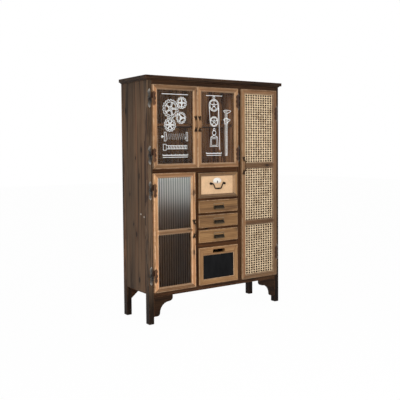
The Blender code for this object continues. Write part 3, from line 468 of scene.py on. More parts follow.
def wear_metal(name, dull, bright, metallic, rough, marked=False, patchy=0.25):
    """Aged cast metal, brighter in patches, and where its points are marked: rubbed metal, and on some pieces
    painted highlights and a painted reflection.
    """
    net = Net(name)
    place = net.place()
    cloud = net.noise(place, 90.0, 5.0, 0.65)
    grit = net.noise(place, 900.0, 3.0, 0.6)
    mask = net.step(cloud, 0.42, 0.72)
    if marked:
        rub_and_light = net.add("Attribute", attribute_name="rub_and_light").outputs["Fac"]
        mask = net.madd(mask, patchy, net.mul(rub_and_light, 0.85), clamp=True)
    net.set(
        Base_Color=net.tint(mask, dull, bright),
        Metallic=metallic,
        Roughness=net.madd(grit, 0.25, net.madd(mask, -0.10, rough - 0.08)),
    )
    net.bump(net.madd(grit, 0.5, cloud), 0.0005, 0.5)
    return net.owner


def pane_glass(name, index, rough, rgb, reeds=None):
    """Glass that lets light through to the shelves behind it. reeds is (start, pitch) of rolled reeds."""
    net = Net(name)
    net.set(Base_Color=rgb, Roughness=rough, IOR=index, Transmission_Weight=1.0)
    if reeds:
        # painted shade and reflection: the valleys between the reeds are painted darker in colour and in their
        # reflection, for the dark of the frame that the steep sides gather
        start, pitch = reeds
        turn = net.math("FRACT", net.div(net.sub(net.split(net.place())[0], start), pitch))
        valley = net.size(net.sub(turn, 0.5))
        net.set(
            Base_Color=net.ramp(valley, (0.16, rgb), (0.40, toned(rgb, 0.30))),
            Specular_Tint=net.ramp(valley, (0.14, WHITE), (0.42, toned(WHITE, 0.12))),
        )
    path = net.add("LightPath").outputs
    through = net.most(path["Is Shadow Ray"], path["Is Diffuse Ray"])
    net.end_in(through, net.shader, net.add("BsdfTransparent", toned(rgb, 0.93)))
    return net.owner


def fibre(name, pale, shade, pitch_x, pitch_z, lustre=0.45, chance=0.30):
    """Dry fibre with fine flecks. chance is how much one crossing differs from the next."""
    net = Net(name)
    place = net.place()
    x, _, z = net.split(place)
    cell = net.join(net.math("FLOOR", net.div(x, pitch_x)), net.math("FLOOR", net.div(z, pitch_z)))
    spread = net.add("TexWhiteNoise", cell, noise_dimensions="2D").outputs["Value"]
    fine = net.noise(place, 700.0, 3.0, 0.6)
    broad = net.noise(place, 14.0, 3.0)
    mixture = net.madd(fine, 0.35, net.madd(broad, 0.55, (0.30 - chance) / 2))
    mixture = net.madd(spread, chance, mixture)
    brightest = tuple(min(1.0, c) for c in toned(pale, 1.1))
    net.set(
        Base_Color=net.ramp(mixture, (0.32, shade), (0.62, pale), (0.85, brightest)),
        Roughness=net.madd(fine, 0.25, lustre),
        Specular_IOR_Level=0.4,
    )
    net.bump(fine, 0.0003, 0.6)
    return net.owner


# Mesh helpers


def clear_selection():
    if bpy.context.mode != "OBJECT":
        bpy.ops.object.mode_set(mode="OBJECT")
    bpy.ops.object.select_all(action="DESELECT")


def linked(name, data):
    """A new object in the scene."""
    obj = bpy.data.objects.new(name, data)
    bpy.context.scene.collection.objects.link(obj)
    return obj


def hold(obj):
    clear_selection()
    obj.select_set(True)
    bpy.context.view_layer.objects.active = obj


FACE_OUT = (bpy.ops.mesh.normals_make_consistent, {"inside": False})


def edit(obj, *steps):
    """Runs mesh operators with their options, each on the whole mesh."""
    hold(obj)
    bpy.ops.object.mode_set(mode="EDIT")
    for operator, options in steps:
        bpy.ops.mesh.select_all(action="SELECT")
        operator(**options)
    bpy.ops.object.mode_set(mode="OBJECT")


def modify(obj, kind, **settings):
    """Adds a modifier and applies it."""
    step = obj.modifiers.new(kind, kind)
    for key, value in settings.items():
        setattr(step, key, value)
    hold(obj)
    bpy.ops.object.modifier_apply(modifier=step.name)


def smooth(obj, degrees):
    hold(obj)
    bpy.ops.object.shade_smooth_by_angle(angle=math.radians(degrees))
    return obj


def finish_piece(obj, name, body, materials, nodes=()):
    obj.name = name
    obj.data.name = name
    obj.data.materials.clear()
    for material in materials:
        obj.data.materials.append(material)
    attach(obj, body)
    if nodes:
        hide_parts(*nodes)


def dress(node, material):
    """Gives a solid that stays its finish."""
    for slot in NODES[node].material_slots:
        slot.material = material


def refined(node, bevel=0.0, degrees=35):
    """A merged copy of a solid with its edges softened."""
    copy = NODES[node].copy()
    copy.data = NODES[node].data.copy()
    for key in [k for k in copy.keys() if k.startswith("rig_")]:
        del copy[key]
    copy.parent = None
    bpy.context.scene.collection.objects.link(copy)
    edit(
        copy, (bpy.ops.mesh.remove_doubles, {"threshold": 2 * MERGE}),
        (bpy.ops.mesh.dissolve_limited, {"angle_limit": math.radians(0.5)}),
    )
    if bevel:
        sharp = math.radians(38)
        modify(copy, "BEVEL", width=bevel, segments=2, limit_method="ANGLE", angle_limit=sharp)
    return smooth(copy, degrees)


def mark_rub(obj, share):
    """Stores how bright each point is, by its place in the piece's box, 0 to 1 each way: rubbed metal, and on
    some pieces painted highlights and painted shade.
    """
    places = [vertex.co for vertex in obj.data.vertices]
    low = [min(place[k] for place in places) for k in range(3)]
    high = [max(place[k] for place in places) for k in range(3)]
    marks = obj.data.attributes.new("rub_and_light", "FLOAT", "POINT")
    for mark, place in zip(marks.data, places):
        mark.value = share(*((place[k] - low[k]) / (high[k] - low[k]) for k in range(3)))
    return obj


def rubbed_copy(node, name, metal, share, bevel=SOFT_EDGE, degrees=35):
    """Puts a softened copy in a solid's place, made brighter as share says: rubbed, and on some pieces painted
    highlights.
    """
    piece = mark_rub(refined(node, bevel, degrees), share)
    finish_piece(piece, name, NODES[node]["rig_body"], [metal], [node])


# Woven sheets


def strand(length, width, crossings, lift, upright, flip, along0, across):
    """One flat strand, standing or lying, that rises and dips over the crossings."""
    bpy.ops.mesh.primitive_grid_add(x_subdivisions=1, y_subdivisions=crossings * 2, size=1.0)
    piece = bpy.context.object
    for vertex in piece.data.vertices:
        w, run = vertex.co.x * width, (vertex.co.y + 0.5) * length
        phase = math.cos(math.pi * (run / length * crossings + flip))
        if upright:
            vertex.co = (across + w, -lift * phase, along0 + run)
        else:
            vertex.co = (along0 + run, lift * phase, across - w)
    return piece


def woven_sheet(area, y, pitch_x, pitch_z, upright, level, gap, lift, thick, pairs):
    """Over-and-under weave of upright and level strands inside an area (x0, x1, z0, z1)."""
    x0, x1, z0, z1 = area
    columns = max(2, round((x1 - x0) / pitch_x / 2) * 2 + 2)
    rows = max(2, round((z1 - z0) / pitch_z / 2) * 2 + 2)
    left = (x0 + x1) / 2 - columns * pitch_x / 2
    foot = (z0 + z1) / 2 - rows * pitch_z / 2
    clear_selection()
    made = []
    for i in range(2):
        for side in (-0.5, 0.5) if pairs else (0.0,):
            at = left + (i + 0.5) * pitch_x + side * (upright + gap)
            made.append(strand(2 * pitch_z, upright, 2, lift, True, i, foot, at))
            at = foot + (i + 0.5) * pitch_z + side * (level + gap)
            made.append(strand(2 * pitch_x, level, 2, lift, False, i, left, at))
    hold(made[0])
    for piece in made:
        piece.select_set(True)
    bpy.ops.object.join()
    sheet = bpy.context.object
    for axis, count, step in ((0, columns // 2, 2 * pitch_x), (2, rows // 2, 2 * pitch_z)):
        modify(
            sheet, "ARRAY", count=count, use_relative_offset=False, use_constant_offset=True,
            constant_offset_displace=[step if k == axis else 0.0 for k in range(3)],
            use_merge_vertices=True, merge_threshold=MERGE,
        )
    # the edges of the area cut the sheet to size
    for at, out in (
        ((x0, 0, 0), (-1, 0, 0)), ((x1, 0, 0), (1, 0, 0)), ((0, 0, z0), (0, 0, -1)), ((0, 0, z1), (0, 0, 1)),
    ):
        edit(sheet, (bpy.ops.mesh.bisect, {"plane_co": at, "plane_no": out, "clear_outer": True}))
    edit(sheet, FACE_OUT)
    modify(sheet, "SOLIDIFY", thickness=thick, offset=0.0)
    for vertex in sheet.data.vertices:
        vertex.co.y += y
    return smooth(sheet, 50)


# Line design on the clear panes


def polar(centre, radius, angle):
    return centre[0] + radius * math.cos(angle), centre[1] + radius * math.sin(angle)


def ring(centre, radius, count=40):
    return [polar(centre, radius, math.radians(360.0 * i / count)) for i in range(count + 1)]


def gear(centre, radius, teeth, spokes):
    """Outline of a toothed wheel with hub, rim and spokes."""
    rim = [
        polar(centre, size * radius, 2 * math.pi * (i + part) / teeth)
        for i in range(teeth)
        for part, size in ((0.0, 0.88), (0.22, 1.0), (0.50, 1.0), (0.72, 0.88))
    ]
    paths = [rim + rim[:1], ring(centre, 0.72 * radius)]
    paths += [ring(centre, 0.24 * radius, 20), ring(centre, 0.10 * radius, 12)]
    for i in range(spokes):
        angle = 2 * math.pi * i / spokes
        for lean in (-0.10, 0.10):
            ends = ((0.24, 2.2), (0.72, 1.0))
            paths.append([polar(centre, size * radius, angle + lean * turn) for size, turn in ends])
    return paths


def bar(x0, x1, z0, z1):
    return [(x0, z0), (x1, z0), (x1, z1), (x0, z1), (x0, z0)]


def gauge(x0, x1, z, ticks):
    """A ruled line with ticks."""
    paths = [[(x0, z), (x1, z)]]
    for i in range(ticks + 1):
        x = x0 + (x1 - x0) * i / ticks
        paths.append([(x, z), (x, z + (LONG_TICK if i % 4 == 0 else TICK))])
    return paths


def left_design():
    """Gear train over a coil spring and a screw, about the pane's middle, in metres."""
    coil = [(-0.070, -0.062)]
    for i in range(9):
        coil += [(-0.066 + 0.0165 * i, -0.042), (-0.058 + 0.0165 * i, -0.082)]
    return [
        *gear((-0.034, 0.118), 0.060, 18, 5), *gear((0.052, 0.158), 0.038, 12, 4),
        *gear((0.046, 0.060), 0.038, 12, 3), *gear((-0.040, 0.014), 0.044, 14, 6),
        # the spring between two seats
        coil + [(0.084, -0.062)], bar(-0.084, -0.070, -0.090, -0.034), bar(0.084, 0.096, -0.090, -0.034),
        [(-0.100, -0.062), (-0.084, -0.062)], ring((-0.100, -0.062), 0.006, 12),
        # the screw lying under it
        bar(-0.092, -0.070, -0.150, -0.112), bar(-0.070, 0.090, -0.142, -0.120),
        *([(-0.056 + 0.012 * i, -0.142), (-0.050 + 0.012 * i, -0.120)] for i in range(12)),
        *gauge(-0.096, 0.096, -0.184, 24),
        [(-0.096, -0.196), (0.096, -0.196)], [(-0.100, 0.212), (0.100, 0.212)],
    ]


def right_design():
    """Block and tackle beside a slide gauge, about the pane's middle, in metres."""
    paths = []
    for z, radius in ((0.150, 0.040), (0.040, 0.033)):
        centre = (-0.030, z)
        paths += [ring(centre, radius), ring(centre, 0.82 * radius), ring(centre, 0.2 * radius, 14)]
        for turn in range(5):
            angle = math.radians(90 + 72 * turn)
            paths.append([polar(centre, share * radius, angle) for share in (0.2, 0.82)])
    paths += [
        [(-0.070, 0.150), (-0.063, 0.040)], [(0.010, 0.150), (0.003, 0.040)],
        [(0.010, 0.150), (0.016, -0.150)], ring((-0.030, 0.204), 0.008, 14),
        [(-0.095, 0.214), (0.040, 0.214)],
        # the weight on a ring
        ring((-0.030, -0.014), 0.008, 14), ring((-0.030, -0.036), 0.015, 18),
        [(-0.058, -0.066), (-0.002, -0.066), (0.004, -0.128), (-0.064, -0.128), (-0.058, -0.066)],
        [(-0.030, -0.051), (-0.058, -0.066)], [(-0.030, -0.051), (-0.002, -0.066)],
        bar(-0.052, -0.008, -0.120, -0.076),
    ]
    # the slide gauge with its jaws
    x = 0.072
    paths += [bar(x - 0.009, x + 0.009, -0.190, 0.120), [(x, 0.120), (x, -0.190)]]
    for i in range(24):
        z = -0.180 + i * 0.012
        paths.append([(x + 0.009, z), (x + (0.001 if i % 4 == 0 else 0.005), z)])
    for z, long in ((0.120, 0.038), (0.060, 0.034)):
        paths += [
            [(x + 0.009, z), (x + long, z - 0.004), (x + long, z - 0.010), (x + 0.009, z - 0.024)],
            [(x - 0.009, z), (x - 0.024, z - 0.006), (x - 0.009, z - 0.018)],
        ]
    paths.append(bar(x - 0.015, x + 0.015, 0.026, 0.064))
    return paths + gauge(-0.095, 0.030, -0.176, 16) + [[(-0.095, -0.188), (0.030, -0.188)]]


def line_piece(paths, centre, y, width, flat=0.14):
    """Raised white lines on a pane, as one mesh flattened to a share of its depth."""
    data = bpy.data.curves.new("line_design", "CURVE")
    data.dimensions = "3D"
    data.bevel_depth = width / 2
    data.bevel_resolution = 0
    data.use_fill_caps = True
    for path in paths:
        closed = path[0] == path[-1] and len(path) > 3
        points = path[:-1] if closed else path
        spline = data.splines.new("POLY")
        spline.use_cyclic_u = closed
        spline.points.add(len(points) - 1)
        for point, (u, v) in zip(spline.points, points):
            point.co = (centre[0] + u, 0.0, centre[1] + v, 1.0)
    hold(linked("line_design", data))
    bpy.ops.object.convert(target="MESH")
    lines = bpy.context.object
    for vertex in lines.data.vertices:
        vertex.co.y = y + flat * vertex.co.y
    return lines


# Bail handle


def lathe(profile, at, steps=24):
    """A turned shape about a line along Y through a point, from (radius, y) pairs."""
    mesh = bpy.data.meshes.new("turned")
    points = [(at[0] + r, y, at[2]) for r, y in profile]
    mesh.from_pydata(points, [(i, i + 1) for i in range(len(points) - 1)], [])
    obj = linked("turned", mesh)
    spin = {"steps": steps, "angle": 2 * math.pi, "center": at, "axis": (0, 1, 0)}
    edit(obj, (bpy.ops.mesh.spin, spin), (bpy.ops.mesh.remove_doubles, {"threshold": MERGE}), FACE_OUT)
    return smooth(obj, 50)


def bail_post(x, back, front, z):
    """Turned post: a rose on the panel, a waisted stem and a ball that the bail hangs from."""
    middle = front + BALL_R
    rose = ((0.0, 0.0), (0.0090, 0.0), (0.0092, 0.0008), (0.0082, 0.0018), (0.0060, 0.0024), (0.0040, 0.0038))
    profile = [(r, back - out) for r, out in rose] + [(0.0038, middle + 0.0066)]
    for i in range(9):
        angle = math.radians(30 + 150 * i / 8)
        profile.append((BALL_R * math.sin(angle) if i < 8 else 0.0, middle + BALL_R * math.cos(angle)))
    return lathe(profile, (x, 0.0, z))


def shell_plate(x, top, back, width):
    """Lobed shell with ribs that run out to its scalloped edge."""
    lobes, steps, rings = 12, 96, 7
    thin, dome, ribs, notch = 0.0011, 0.0030, 0.0011, 0.06
    clear_selection()
    bpy.ops.mesh.primitive_circle_add(vertices=steps, radius=1.0, fill_type="NGON")
    plate = bpy.context.object
    bpy.ops.object.mode_set(mode="EDIT")
    bpy.ops.mesh.select_all(action="SELECT")
    for _ in range(rings - 1):
        bpy.ops.mesh.inset(thickness=1.0 / rings)
    bpy.ops.mesh.poke()
    bpy.ops.object.mode_set(mode="OBJECT")
    tall = 0.64 * width
    z = top - tall / 2
    for vertex in plate.data.vertices:
        r, a = vertex.co.xy.length, math.atan2(vertex.co.y, vertex.co.x)
        rib = abs(math.cos(lobes * a / 2))
        edge = 1.0 + notch * (rib - 1.0) * r
        rise = thin + dome * (1 - r * r) + ribs * rib * math.sin(math.pi * min(1.0, r)) ** 0.7
        vertex.co = (
            x + width / 2 * r * edge * math.cos(a),
            back - rise,
            z + tall / 2 * r * edge * math.sin(a),
        )
    modify(plate, "SOLIDIFY", thickness=PLATE_T, offset=-1.0)
    edit(plate, FACE_OUT)
    return smooth(plate, 40)


def keyhole_cut(x, z, back):
    """Dark keyhole: a round hole over a slot that runs downwards."""
    inner, rim, face = back - 0.0044, back - 0.0053, back - 0.0056
    profile = [(0.0, inner), (KEYHOLE_R, inner), (KEYHOLE_R, rim), (0.0028, face), (0.0, face)]
    keyhole = lathe(profile, (x, 0.0, z), 16)
    for vertex in keyhole.data.vertices:
        drop = vertex.co.z - z
        if drop < -0.001:
            vertex.co.z += 3.0 * drop
    return keyhole


# Operators, one for each piece or group of like pieces


class CABINET_OT_carcass(bpy.types.Operator):
    """Stain the carcass boards, each with its own grain and rubbed edges, with painted light and shade on the
    boards inside
    """

    bl_idname = "cabinet.carcass"
    bl_label = "Stain Carcass"

    def execute(self, context):
        tone = finishes()
        walnut = (tone.walnut_dark, tone.walnut_mid, tone.walnut_light)
        bare = srgb(112, 76, 54)
        # board, direction of its grain, share of the stain's tone; the share of 3.4 on the inner partition is
        # painted light for the dim inside of the cabinet
        boards = {
            "post_front_left": ("Z", 0.92), "post_back_left": ("Z", 0.85), "post_front_right": ("Z", 0.30),
            "post_back_right": ("Z", 0.8), "right_stile": ("Z", 0.40), "partition_left": ("Z", 0.8),
            "partition_right": ("Z", 3.4), "top_board": ("X", 0.32), "top_rail": ("X", 0.32),
            "bottom_rail": ("X", 0.42), "drawer_frame": ("X", 0.62), "bottom_board": ("X", 0.8),
            "middle_board": ("X", 0.9), "upper_shelf": ("X", 1.0), "back_apron": ("X", 0.5),
            "bracket_front_left": ("X", 0.20), "bracket_front_right": ("X", 0.20),
        }
        # how far green and blue follow the tone, where a board isn't as warm as most or is warmer
        hues = {"post_back_left": (0.92, 0.84), "top_board": (0.92, 0.84), "drawer_frame": (0.70, 0.44)}
        drawer_stile = (
            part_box("door_frame_reeded")[1].x - 0.01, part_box("drawer_2")[0].x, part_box("drawer_1")[1].z
        )
        seed = 1.0
        for node, (along, share) in boards.items():
            seed += SEED_STEP
            green, blue = hues.get(node, (0.78, 0.58))
            warm = (share, green * share, blue * share)
            if node == "post_front_left":
                warm = (share, 1.03, 1.10)
            post = node.startswith("post")
            dress(node, timber(
                f"stained_{node}", stained(walnut, *warm), along, seed, box=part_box(node), wear=0.4,
                reach=0.005, bare=bare, shine=0.10, contrast=1.2, streak=0.6 if post else 0.2,
                shades=((0.06, 0.42, 0.92), (1.60, 1.32, 0.40)) if post else (),
                stile=drawer_stile if node == "drawer_frame" else None,
            ))
        # the inner faces of the sides are painted shade: a fifth of the stain on the right side, half of it on
        # the left
        painted_shade_walnut = stained(walnut, 0.2)
        cool = stained(walnut, 0.78, 0.82, 0.83)
        chips = ((-0.051, 0.709), (-0.094, 0.694))
        for node, tones, inside, scars in (
            ("side_panel_left", cool, 0.5, chips), ("side_panel_right", painted_shade_walnut, 5.0, ()),
        ):
            low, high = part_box(node)
            seed += SEED_STEP
            dress(node, timber(
                f"stained_{node}", tones, "Z", seed, planks=(1, low.y, (high.y - low.y) / 4), scars=scars,
                behind=((0, (low.x + high.x) / 2, toned(WHITE, inside)),), contrast=2.3, knots=0.9,
                shine=0.08, streak=0.95, grain_width=1.7, shades=((0.05, 0.55, 0.25), (1.60, 1.32, 0.30)),
            ))
        low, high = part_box("back_panel")
        # painted light and shade on the back: its inner face is painted three and a half times as light as the
        # stain, as light inside the cabinet; it is painted shade behind the cane, and the outer face is toned
        # down from that painted light
        painted_shade_tints = (
            (0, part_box("partition_right")[1].x, (0.14, 0.13, 0.12)),
            (1, (low.y + high.y) / 2, (0.42, 0.42, 0.46)),
        )
        # painted shade also darkens the back below 1.24 m, most of all below 0.98 m
        dress("back_panel", timber(
            "stained_back_panel", stained(walnut, 3.5, 3.1, 2.4), "Z", seed + 3,
            planks=(0, low.x, (high.x - low.x) / 9), shine=0.2, behind=painted_shade_tints, shades=((0.98, 1.24, 0.60),),
        ))
        return {"FINISHED"}


class CABINET_OT_door_frames(bpy.types.Operator):
    """Oil the mitred door frames, with painted light and shade on each stile and rail"""

    bl_idname = "cabinet.door_frames"
    bl_label = "Oil Door Frames"

    def execute(self, context):
        tone = finishes()
        fir = stained((tone.fir_dark, tone.fir_mid, tone.fir_light), 1.0, 1.06, 1.10)
        # painted light and shade of the left stile, right stile, lower rail, upper rail and cross bars
        tones = {
            "upper_left": (1.12, 0.96, 0.64, 0.54, 1.0), "upper_right": (1.0, 0.86, 0.72, 0.63, 1.0),
            "reeded": (1.62, 1.40, 0.70, 0.72, 0.64), "tall": (0.72, 0.48, 0.50, 0.62, 0.38),
        }
        for i, door in enumerate(DOORS):
            node = f"door_frame_{door}"
            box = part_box(node)
            dress(node, timber(
                f"oiled_{node}", fir, "Z", 11.0 + 4.1 * i, box=box, door=box, wear=0.85, reach=0.010,
                bare=tone.rubbed, streak=0.25, knots=0.8, contrast=1.2, shine=0.25, boards=tones[door],
            ))
        return {"FINISHED"}


class CABINET_OT_drawers(bpy.types.Operator):
    """Oil the drawers' fronts"""

    bl_idname = "cabinet.drawers"
    bl_label = "Oil Drawers"

    def execute(self, context):
        tone = finishes()
        fir = stained((tone.fir_dark, tone.fir_mid, tone.fir_light), 1.06, 1.15, 1.06)
        smoked = stained(fir, 0.76, 0.75, 0.70)
        # the top drawer's frame gets painted light and shade on its left stile, right stile, lower rail, upper
        # rail and cross bars; the bottom drawer's stays even
        frames = {1: (0.62, 0.85, 0.42, 0.55, 1.0), 5: (1.0, 1.0, 1.0, 1.0, 1.0)}
        bleach = tuple(2.0 * c / d for c, d in zip(tone.tray, tone.fir_light))
        for i in range(1, 6):
            node = f"drawer_{i}"
            low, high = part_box(node)
            inner = low.y + DRAWER_FRONT_T
            dress(node, timber(
                f"oiled_{node}", fir if i in frames else smoked, "X", 31.0 + 3.3 * i,
                box=(low, Vector((high.x, inner, high.z))), door=(low, high) if i in frames else None,
                wear=0.85, bare=tone.rubbed, behind=((1, inner, bleach),), boards=frames.get(i),
            ))
        return {"FINISHED"}


class CABINET_OT_clear_panes(bpy.types.Operator):
    """Glaze the upper doors and fire the white line design on the glass"""

    bl_idname = "cabinet.clear_panes"
    bl_label = "Glaze Upper Doors"

    def execute(self, context):
        glass = pane_glass("clear_pane", 1.2, 0.0, (0.97, 0.98, 0.97))
        net = Net("white_line")
        worn = net.noise(net.place(), 160.0, 4.0, 0.6)
        pale = finishes().enamel
        net.set(
            Base_Color=net.ramp(worn, (0.25, toned(pale, 0.82)), (0.5, pale)),
            Roughness=net.madd(worn, 0.3, 0.35),
        )
        for door, design in (("upper_left", left_design()), ("upper_right", right_design())):
            node = f"pane_{door}"
            dress(node, glass)
            low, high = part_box(node)
            centre = ((low.x + high.x) / 2, (low.z + high.z) / 2)
            lines = line_piece(design, centre, low.y - LINE_OUT, sizes().line_width)
            finish_piece(lines, f"line_design_{door}", f"door_{door}", [net.owner])
        return {"FINISHED"}


class CABINET_OT_reeded_pane(bpy.types.Operator):
    """Roll the reeded pane"""

    bl_idname = "cabinet.reeded_pane"
    bl_label = "Roll Reeded Pane"

    def execute(self, context):
        low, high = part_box("pane_reeded")
        count, rise = sizes().reeds, sizes().reed_rise
        clear_selection()
        bpy.ops.mesh.primitive_grid_add(x_subdivisions=count * 10, y_subdivisions=1, size=1.0)
        pane = bpy.context.object
        for vertex in pane.data.vertices:
            share = vertex.co.x + 0.5
            reed = min(int(share * count + 1e-4), count - 1)
            side = 2 * (share * count - reed) - 1
            # each reed leans a little its own way
            bow = 0.96 * (1 - side ** 2) * (1 + 0.2 * math.sin(2.4 * reed) * side)
            vertex.co = (
                low.x + share * (high.x - low.x),
                low.y + rise * (1 - bow),
                low.z + (vertex.co.y + 0.5) * (high.z - low.z),
            )
        through = {"TRANSFORM_OT_translate": {"value": (0, high.y - low.y, 0)}}
        edit(pane, (bpy.ops.mesh.extrude_region_move, through))
        for vertex in pane.data.vertices:
            if vertex.select:
                vertex.co.y = high.y
        edit(pane, FACE_OUT)
        smooth(pane, 20)
        glass = pane_glass("reeded_pane", 1.45, 0.28, (0.95, 0.93, 0.78), (low.x, (high.x - low.x) / count))
        plain = pane_glass("reeded_pane_back", 1.0, 0.0, WHITE)
        finish_piece(pane, "reeded_glass", "door_reeded", [glass, plain], ["pane_reeded"])
        for face in pane.data.polygons:
            face.material_index = int(face.normal.y > 0.9 and face.center.y > high.y - MERGE)
        return {"FINISHED"}


class CABINET_OT_cane_panel(bpy.types.Operator):
    """Weave the tall door's cane"""

    bl_idname = "cabinet.cane_panel"
    bl_label = "Weave Cane"

    def execute(self, context):
        low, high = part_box("cane_panel")
        size, tone = sizes(), finishes()
        pitches = (size.cane_pitch_x, size.cane_pitch_z)
        area = (low.x + CANE_INSET, high.x - CANE_INSET, low.z + CANE_INSET, high.z - CANE_INSET)
        sheet = woven_sheet(
            area, (low.y + high.y) / 2, *pitches, size.cane_upright, size.cane_level, CANE_GAP,
            size.cane_lift, CANE_T, True,
        )
        look = fibre("peeled_cane", tone.cane, tone.cane_shade, *pitches)
        finish_piece(sheet, "woven_cane", "door_tall", [look], ["cane_panel"])
        return {"FINISHED"}


class CABINET_OT_raffia_panel(bpy.types.Operator):
    """Weave the top drawer's raffia panel"""

    bl_idname = "cabinet.raffia_panel"
    bl_label = "Weave Raffia"

    def execute(self, context):
        low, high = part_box("woven_panel")
        pitch, straw = sizes().raffia_pitch, finishes().raffia
        width = 0.94 * pitch
        sheet = woven_sheet(
            (low.x, high.x, low.z, high.z), low.y - RAFFIA_OUT, pitch, pitch, width, width, 0.0, RAFFIA_LIFT,
            RAFFIA_T, False,
        )
        look = fibre("raffia_straw", toned(straw, 1.04), toned(straw, 0.66), pitch, pitch, 0.6, 0.10)
        finish_piece(sheet, "woven_raffia", "drawer_1_body", [look])
        dress("woven_panel", fibre("raffia_backing", toned(straw, 0.5), toned(straw, 0.3), pitch, pitch, 0.7))
        return {"FINISHED"}


class CABINET_OT_slate_panel(bpy.types.Operator):
    """Paint the chalkboard"""

    bl_idname = "cabinet.slate_panel"
    bl_label = "Paint Chalkboard"

    def execute(self, context):
        net = Net("chalkboard_paint")
        place = net.place()
        dust = net.noise(net.scaled(place, (1, 1, 0.35)), 26.0, 4.0, 0.6)
        grit = net.noise(place, 1100.0, 2.0)
        base = finishes().slate
        net.set(
            Base_Color=net.ramp(dust, (0.30, toned(base, 0.8)), (0.75, toned(base, 1.7))),
            Roughness=net.madd(grit, 0.2, 0.78),
            Specular_IOR_Level=0.1,
        )
        net.bump(grit, 0.0002, 0.5)
        dress("slate_panel", net.owner)
        return {"FINISHED"}


class CABINET_OT_hinges(bpy.types.Operator):
    """Age the hinge leaves on the posts and the doors, with painted highlights at their ends"""

    bl_idname = "cabinet.hinges"
    bl_label = "Age Hinges"

    def execute(self, context):
        tone = finishes()
        iron = wear_metal("aged_iron", tone.iron, tone.iron_bright, 0.7, 0.42, True)
        bronze = wear_metal("aged_bronze", tone.leaf, tone.leaf_bright, 0.5, 0.5, True)
        for door in DOORS:
            # painted highlights: the leaves on the left post are made bright at their ends, the others only a
            # little
            most = 1.0 if door in ("upper_left", "reeded") else 0.2
            for level in ("top", "low"):
                for leaf, metal, slot in (("post", iron, "dark_iron"), ("door", bronze, "bronze")):
                    rubbed_copy(
                        f"hinge_{level}_{leaf}_leaf_{door}", f"{leaf}_leaf_{level}_{door}", metal,
                        lambda x, y, z: most * abs(2 * z - 1) ** 4,
                    )
        return {"FINISHED"}


class CABINET_OT_bow_pulls(bpy.types.Operator):
    """Brown the bow pulls"""

    bl_idname = "cabinet.bow_pulls"
    bl_label = "Brown Bow Pulls"

    def execute(self, context):
        tone = finishes()
        metal = wear_metal("browned_bow", tone.bronze, tone.bronze_bright, 0.85, 0.38, True)
        for door in DOORS:
            # the middle of the bow is brighter, most of all on the upper doors
            most = 1.0 if door.startswith("upper") else 0.3
            rubbed_copy(
                f"pull_{door}", f"bow_pull_{door}", metal,
                lambda x, y, z: max(0.0, most * (1 - (3.4 * (z - 0.5)) ** 4)), degrees=50,
            )
        return {"FINISHED"}


class CABINET_OT_cup_pulls(bpy.types.Operator):
    """Blacken the card-frame pulls"""

    bl_idname = "cabinet.cup_pulls"
    bl_label = "Blacken Cup Pulls"

    def execute(self, context):
        tone = finishes()
        metal = wear_metal("blackened_cup", tone.olive, tone.olive_bright, 0.85, 0.5, True, 0.06)

        def rubbed(x, y, z):
            """Painted highlights on the top edge and on the hood's lower rim, a duller card frame and a dark
            hood.
            """
            if z < 0.60:
                return 0.30 if z < 0.10 else 0.0
            return 0.95 if z > 0.93 else 0.42

        for i in (2, 3, 4):
            rubbed_copy(f"cup_pull_{i}", f"card_pull_{i}", metal, rubbed, bevel=0.0005)
        return {"FINISHED"}


class CABINET_OT_bail_handle(bpy.types.Operator):
    """Cast the top drawer's plate, posts and bail"""

    bl_idname = "cabinet.bail_handle"
    bl_label = "Cast Bail Handle"

    def execute(self, context):
        tone = finishes()
        width = sizes().plate_width
        # the plate's dull tone is the raffia's colour, for the painted reflection on its lower part
        nickel = wear_metal("nickel_with_painted_reflection", toned(tone.raffia, 0.9), tone.nickel, 0.25, 0.4, True, 0.1)
        bronze = wear_metal("browned_bail", toned(tone.bronze, 0.4), tone.bronze, 0.7, 0.38)
        dark = wear_metal("keyhole_shadow", srgb(14, 12, 11), srgb(24, 21, 19), 0.3, 0.6)
        low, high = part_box("bail_plate")
        joints = frame["record"]["behaviour"]["joints"]
        x, _, z = next(joint["pos_m"] for joint in joints if joint["name"] == "bail_swing")
        # painted shade and a painted reflection of the raffia: the plate fades towards its foot to the
        # raffia's colour
        plate = mark_rub(
            shell_plate(x, high.z, high.y, width), lambda x, y, z: min(1.1, max(0.0, 3.0 * (z - 0.05)))
        )
        finish_piece(plate, "shell_plate", "drawer_1_body", [nickel], ["bail_plate"])
        hole = keyhole_cut(x, high.z - 0.34 * width, high.y)
        finish_piece(hole, "keyhole", "drawer_1_body", [dark])
        for name, side in (("left", low.x), ("right", high.x)):
            post = bail_post(side + math.copysign(POST_INSET, x - side), high.y, low.y, z)
            finish_piece(post, f"bail_post_{name}", "drawer_1_body", [bronze], ["bail_plate"])
        bail = refined("bail", 0.0, 60)
        finish_piece(bail, "swing_bail", "bail_body", [bronze], ["bail"])
        return {"FINISHED"}


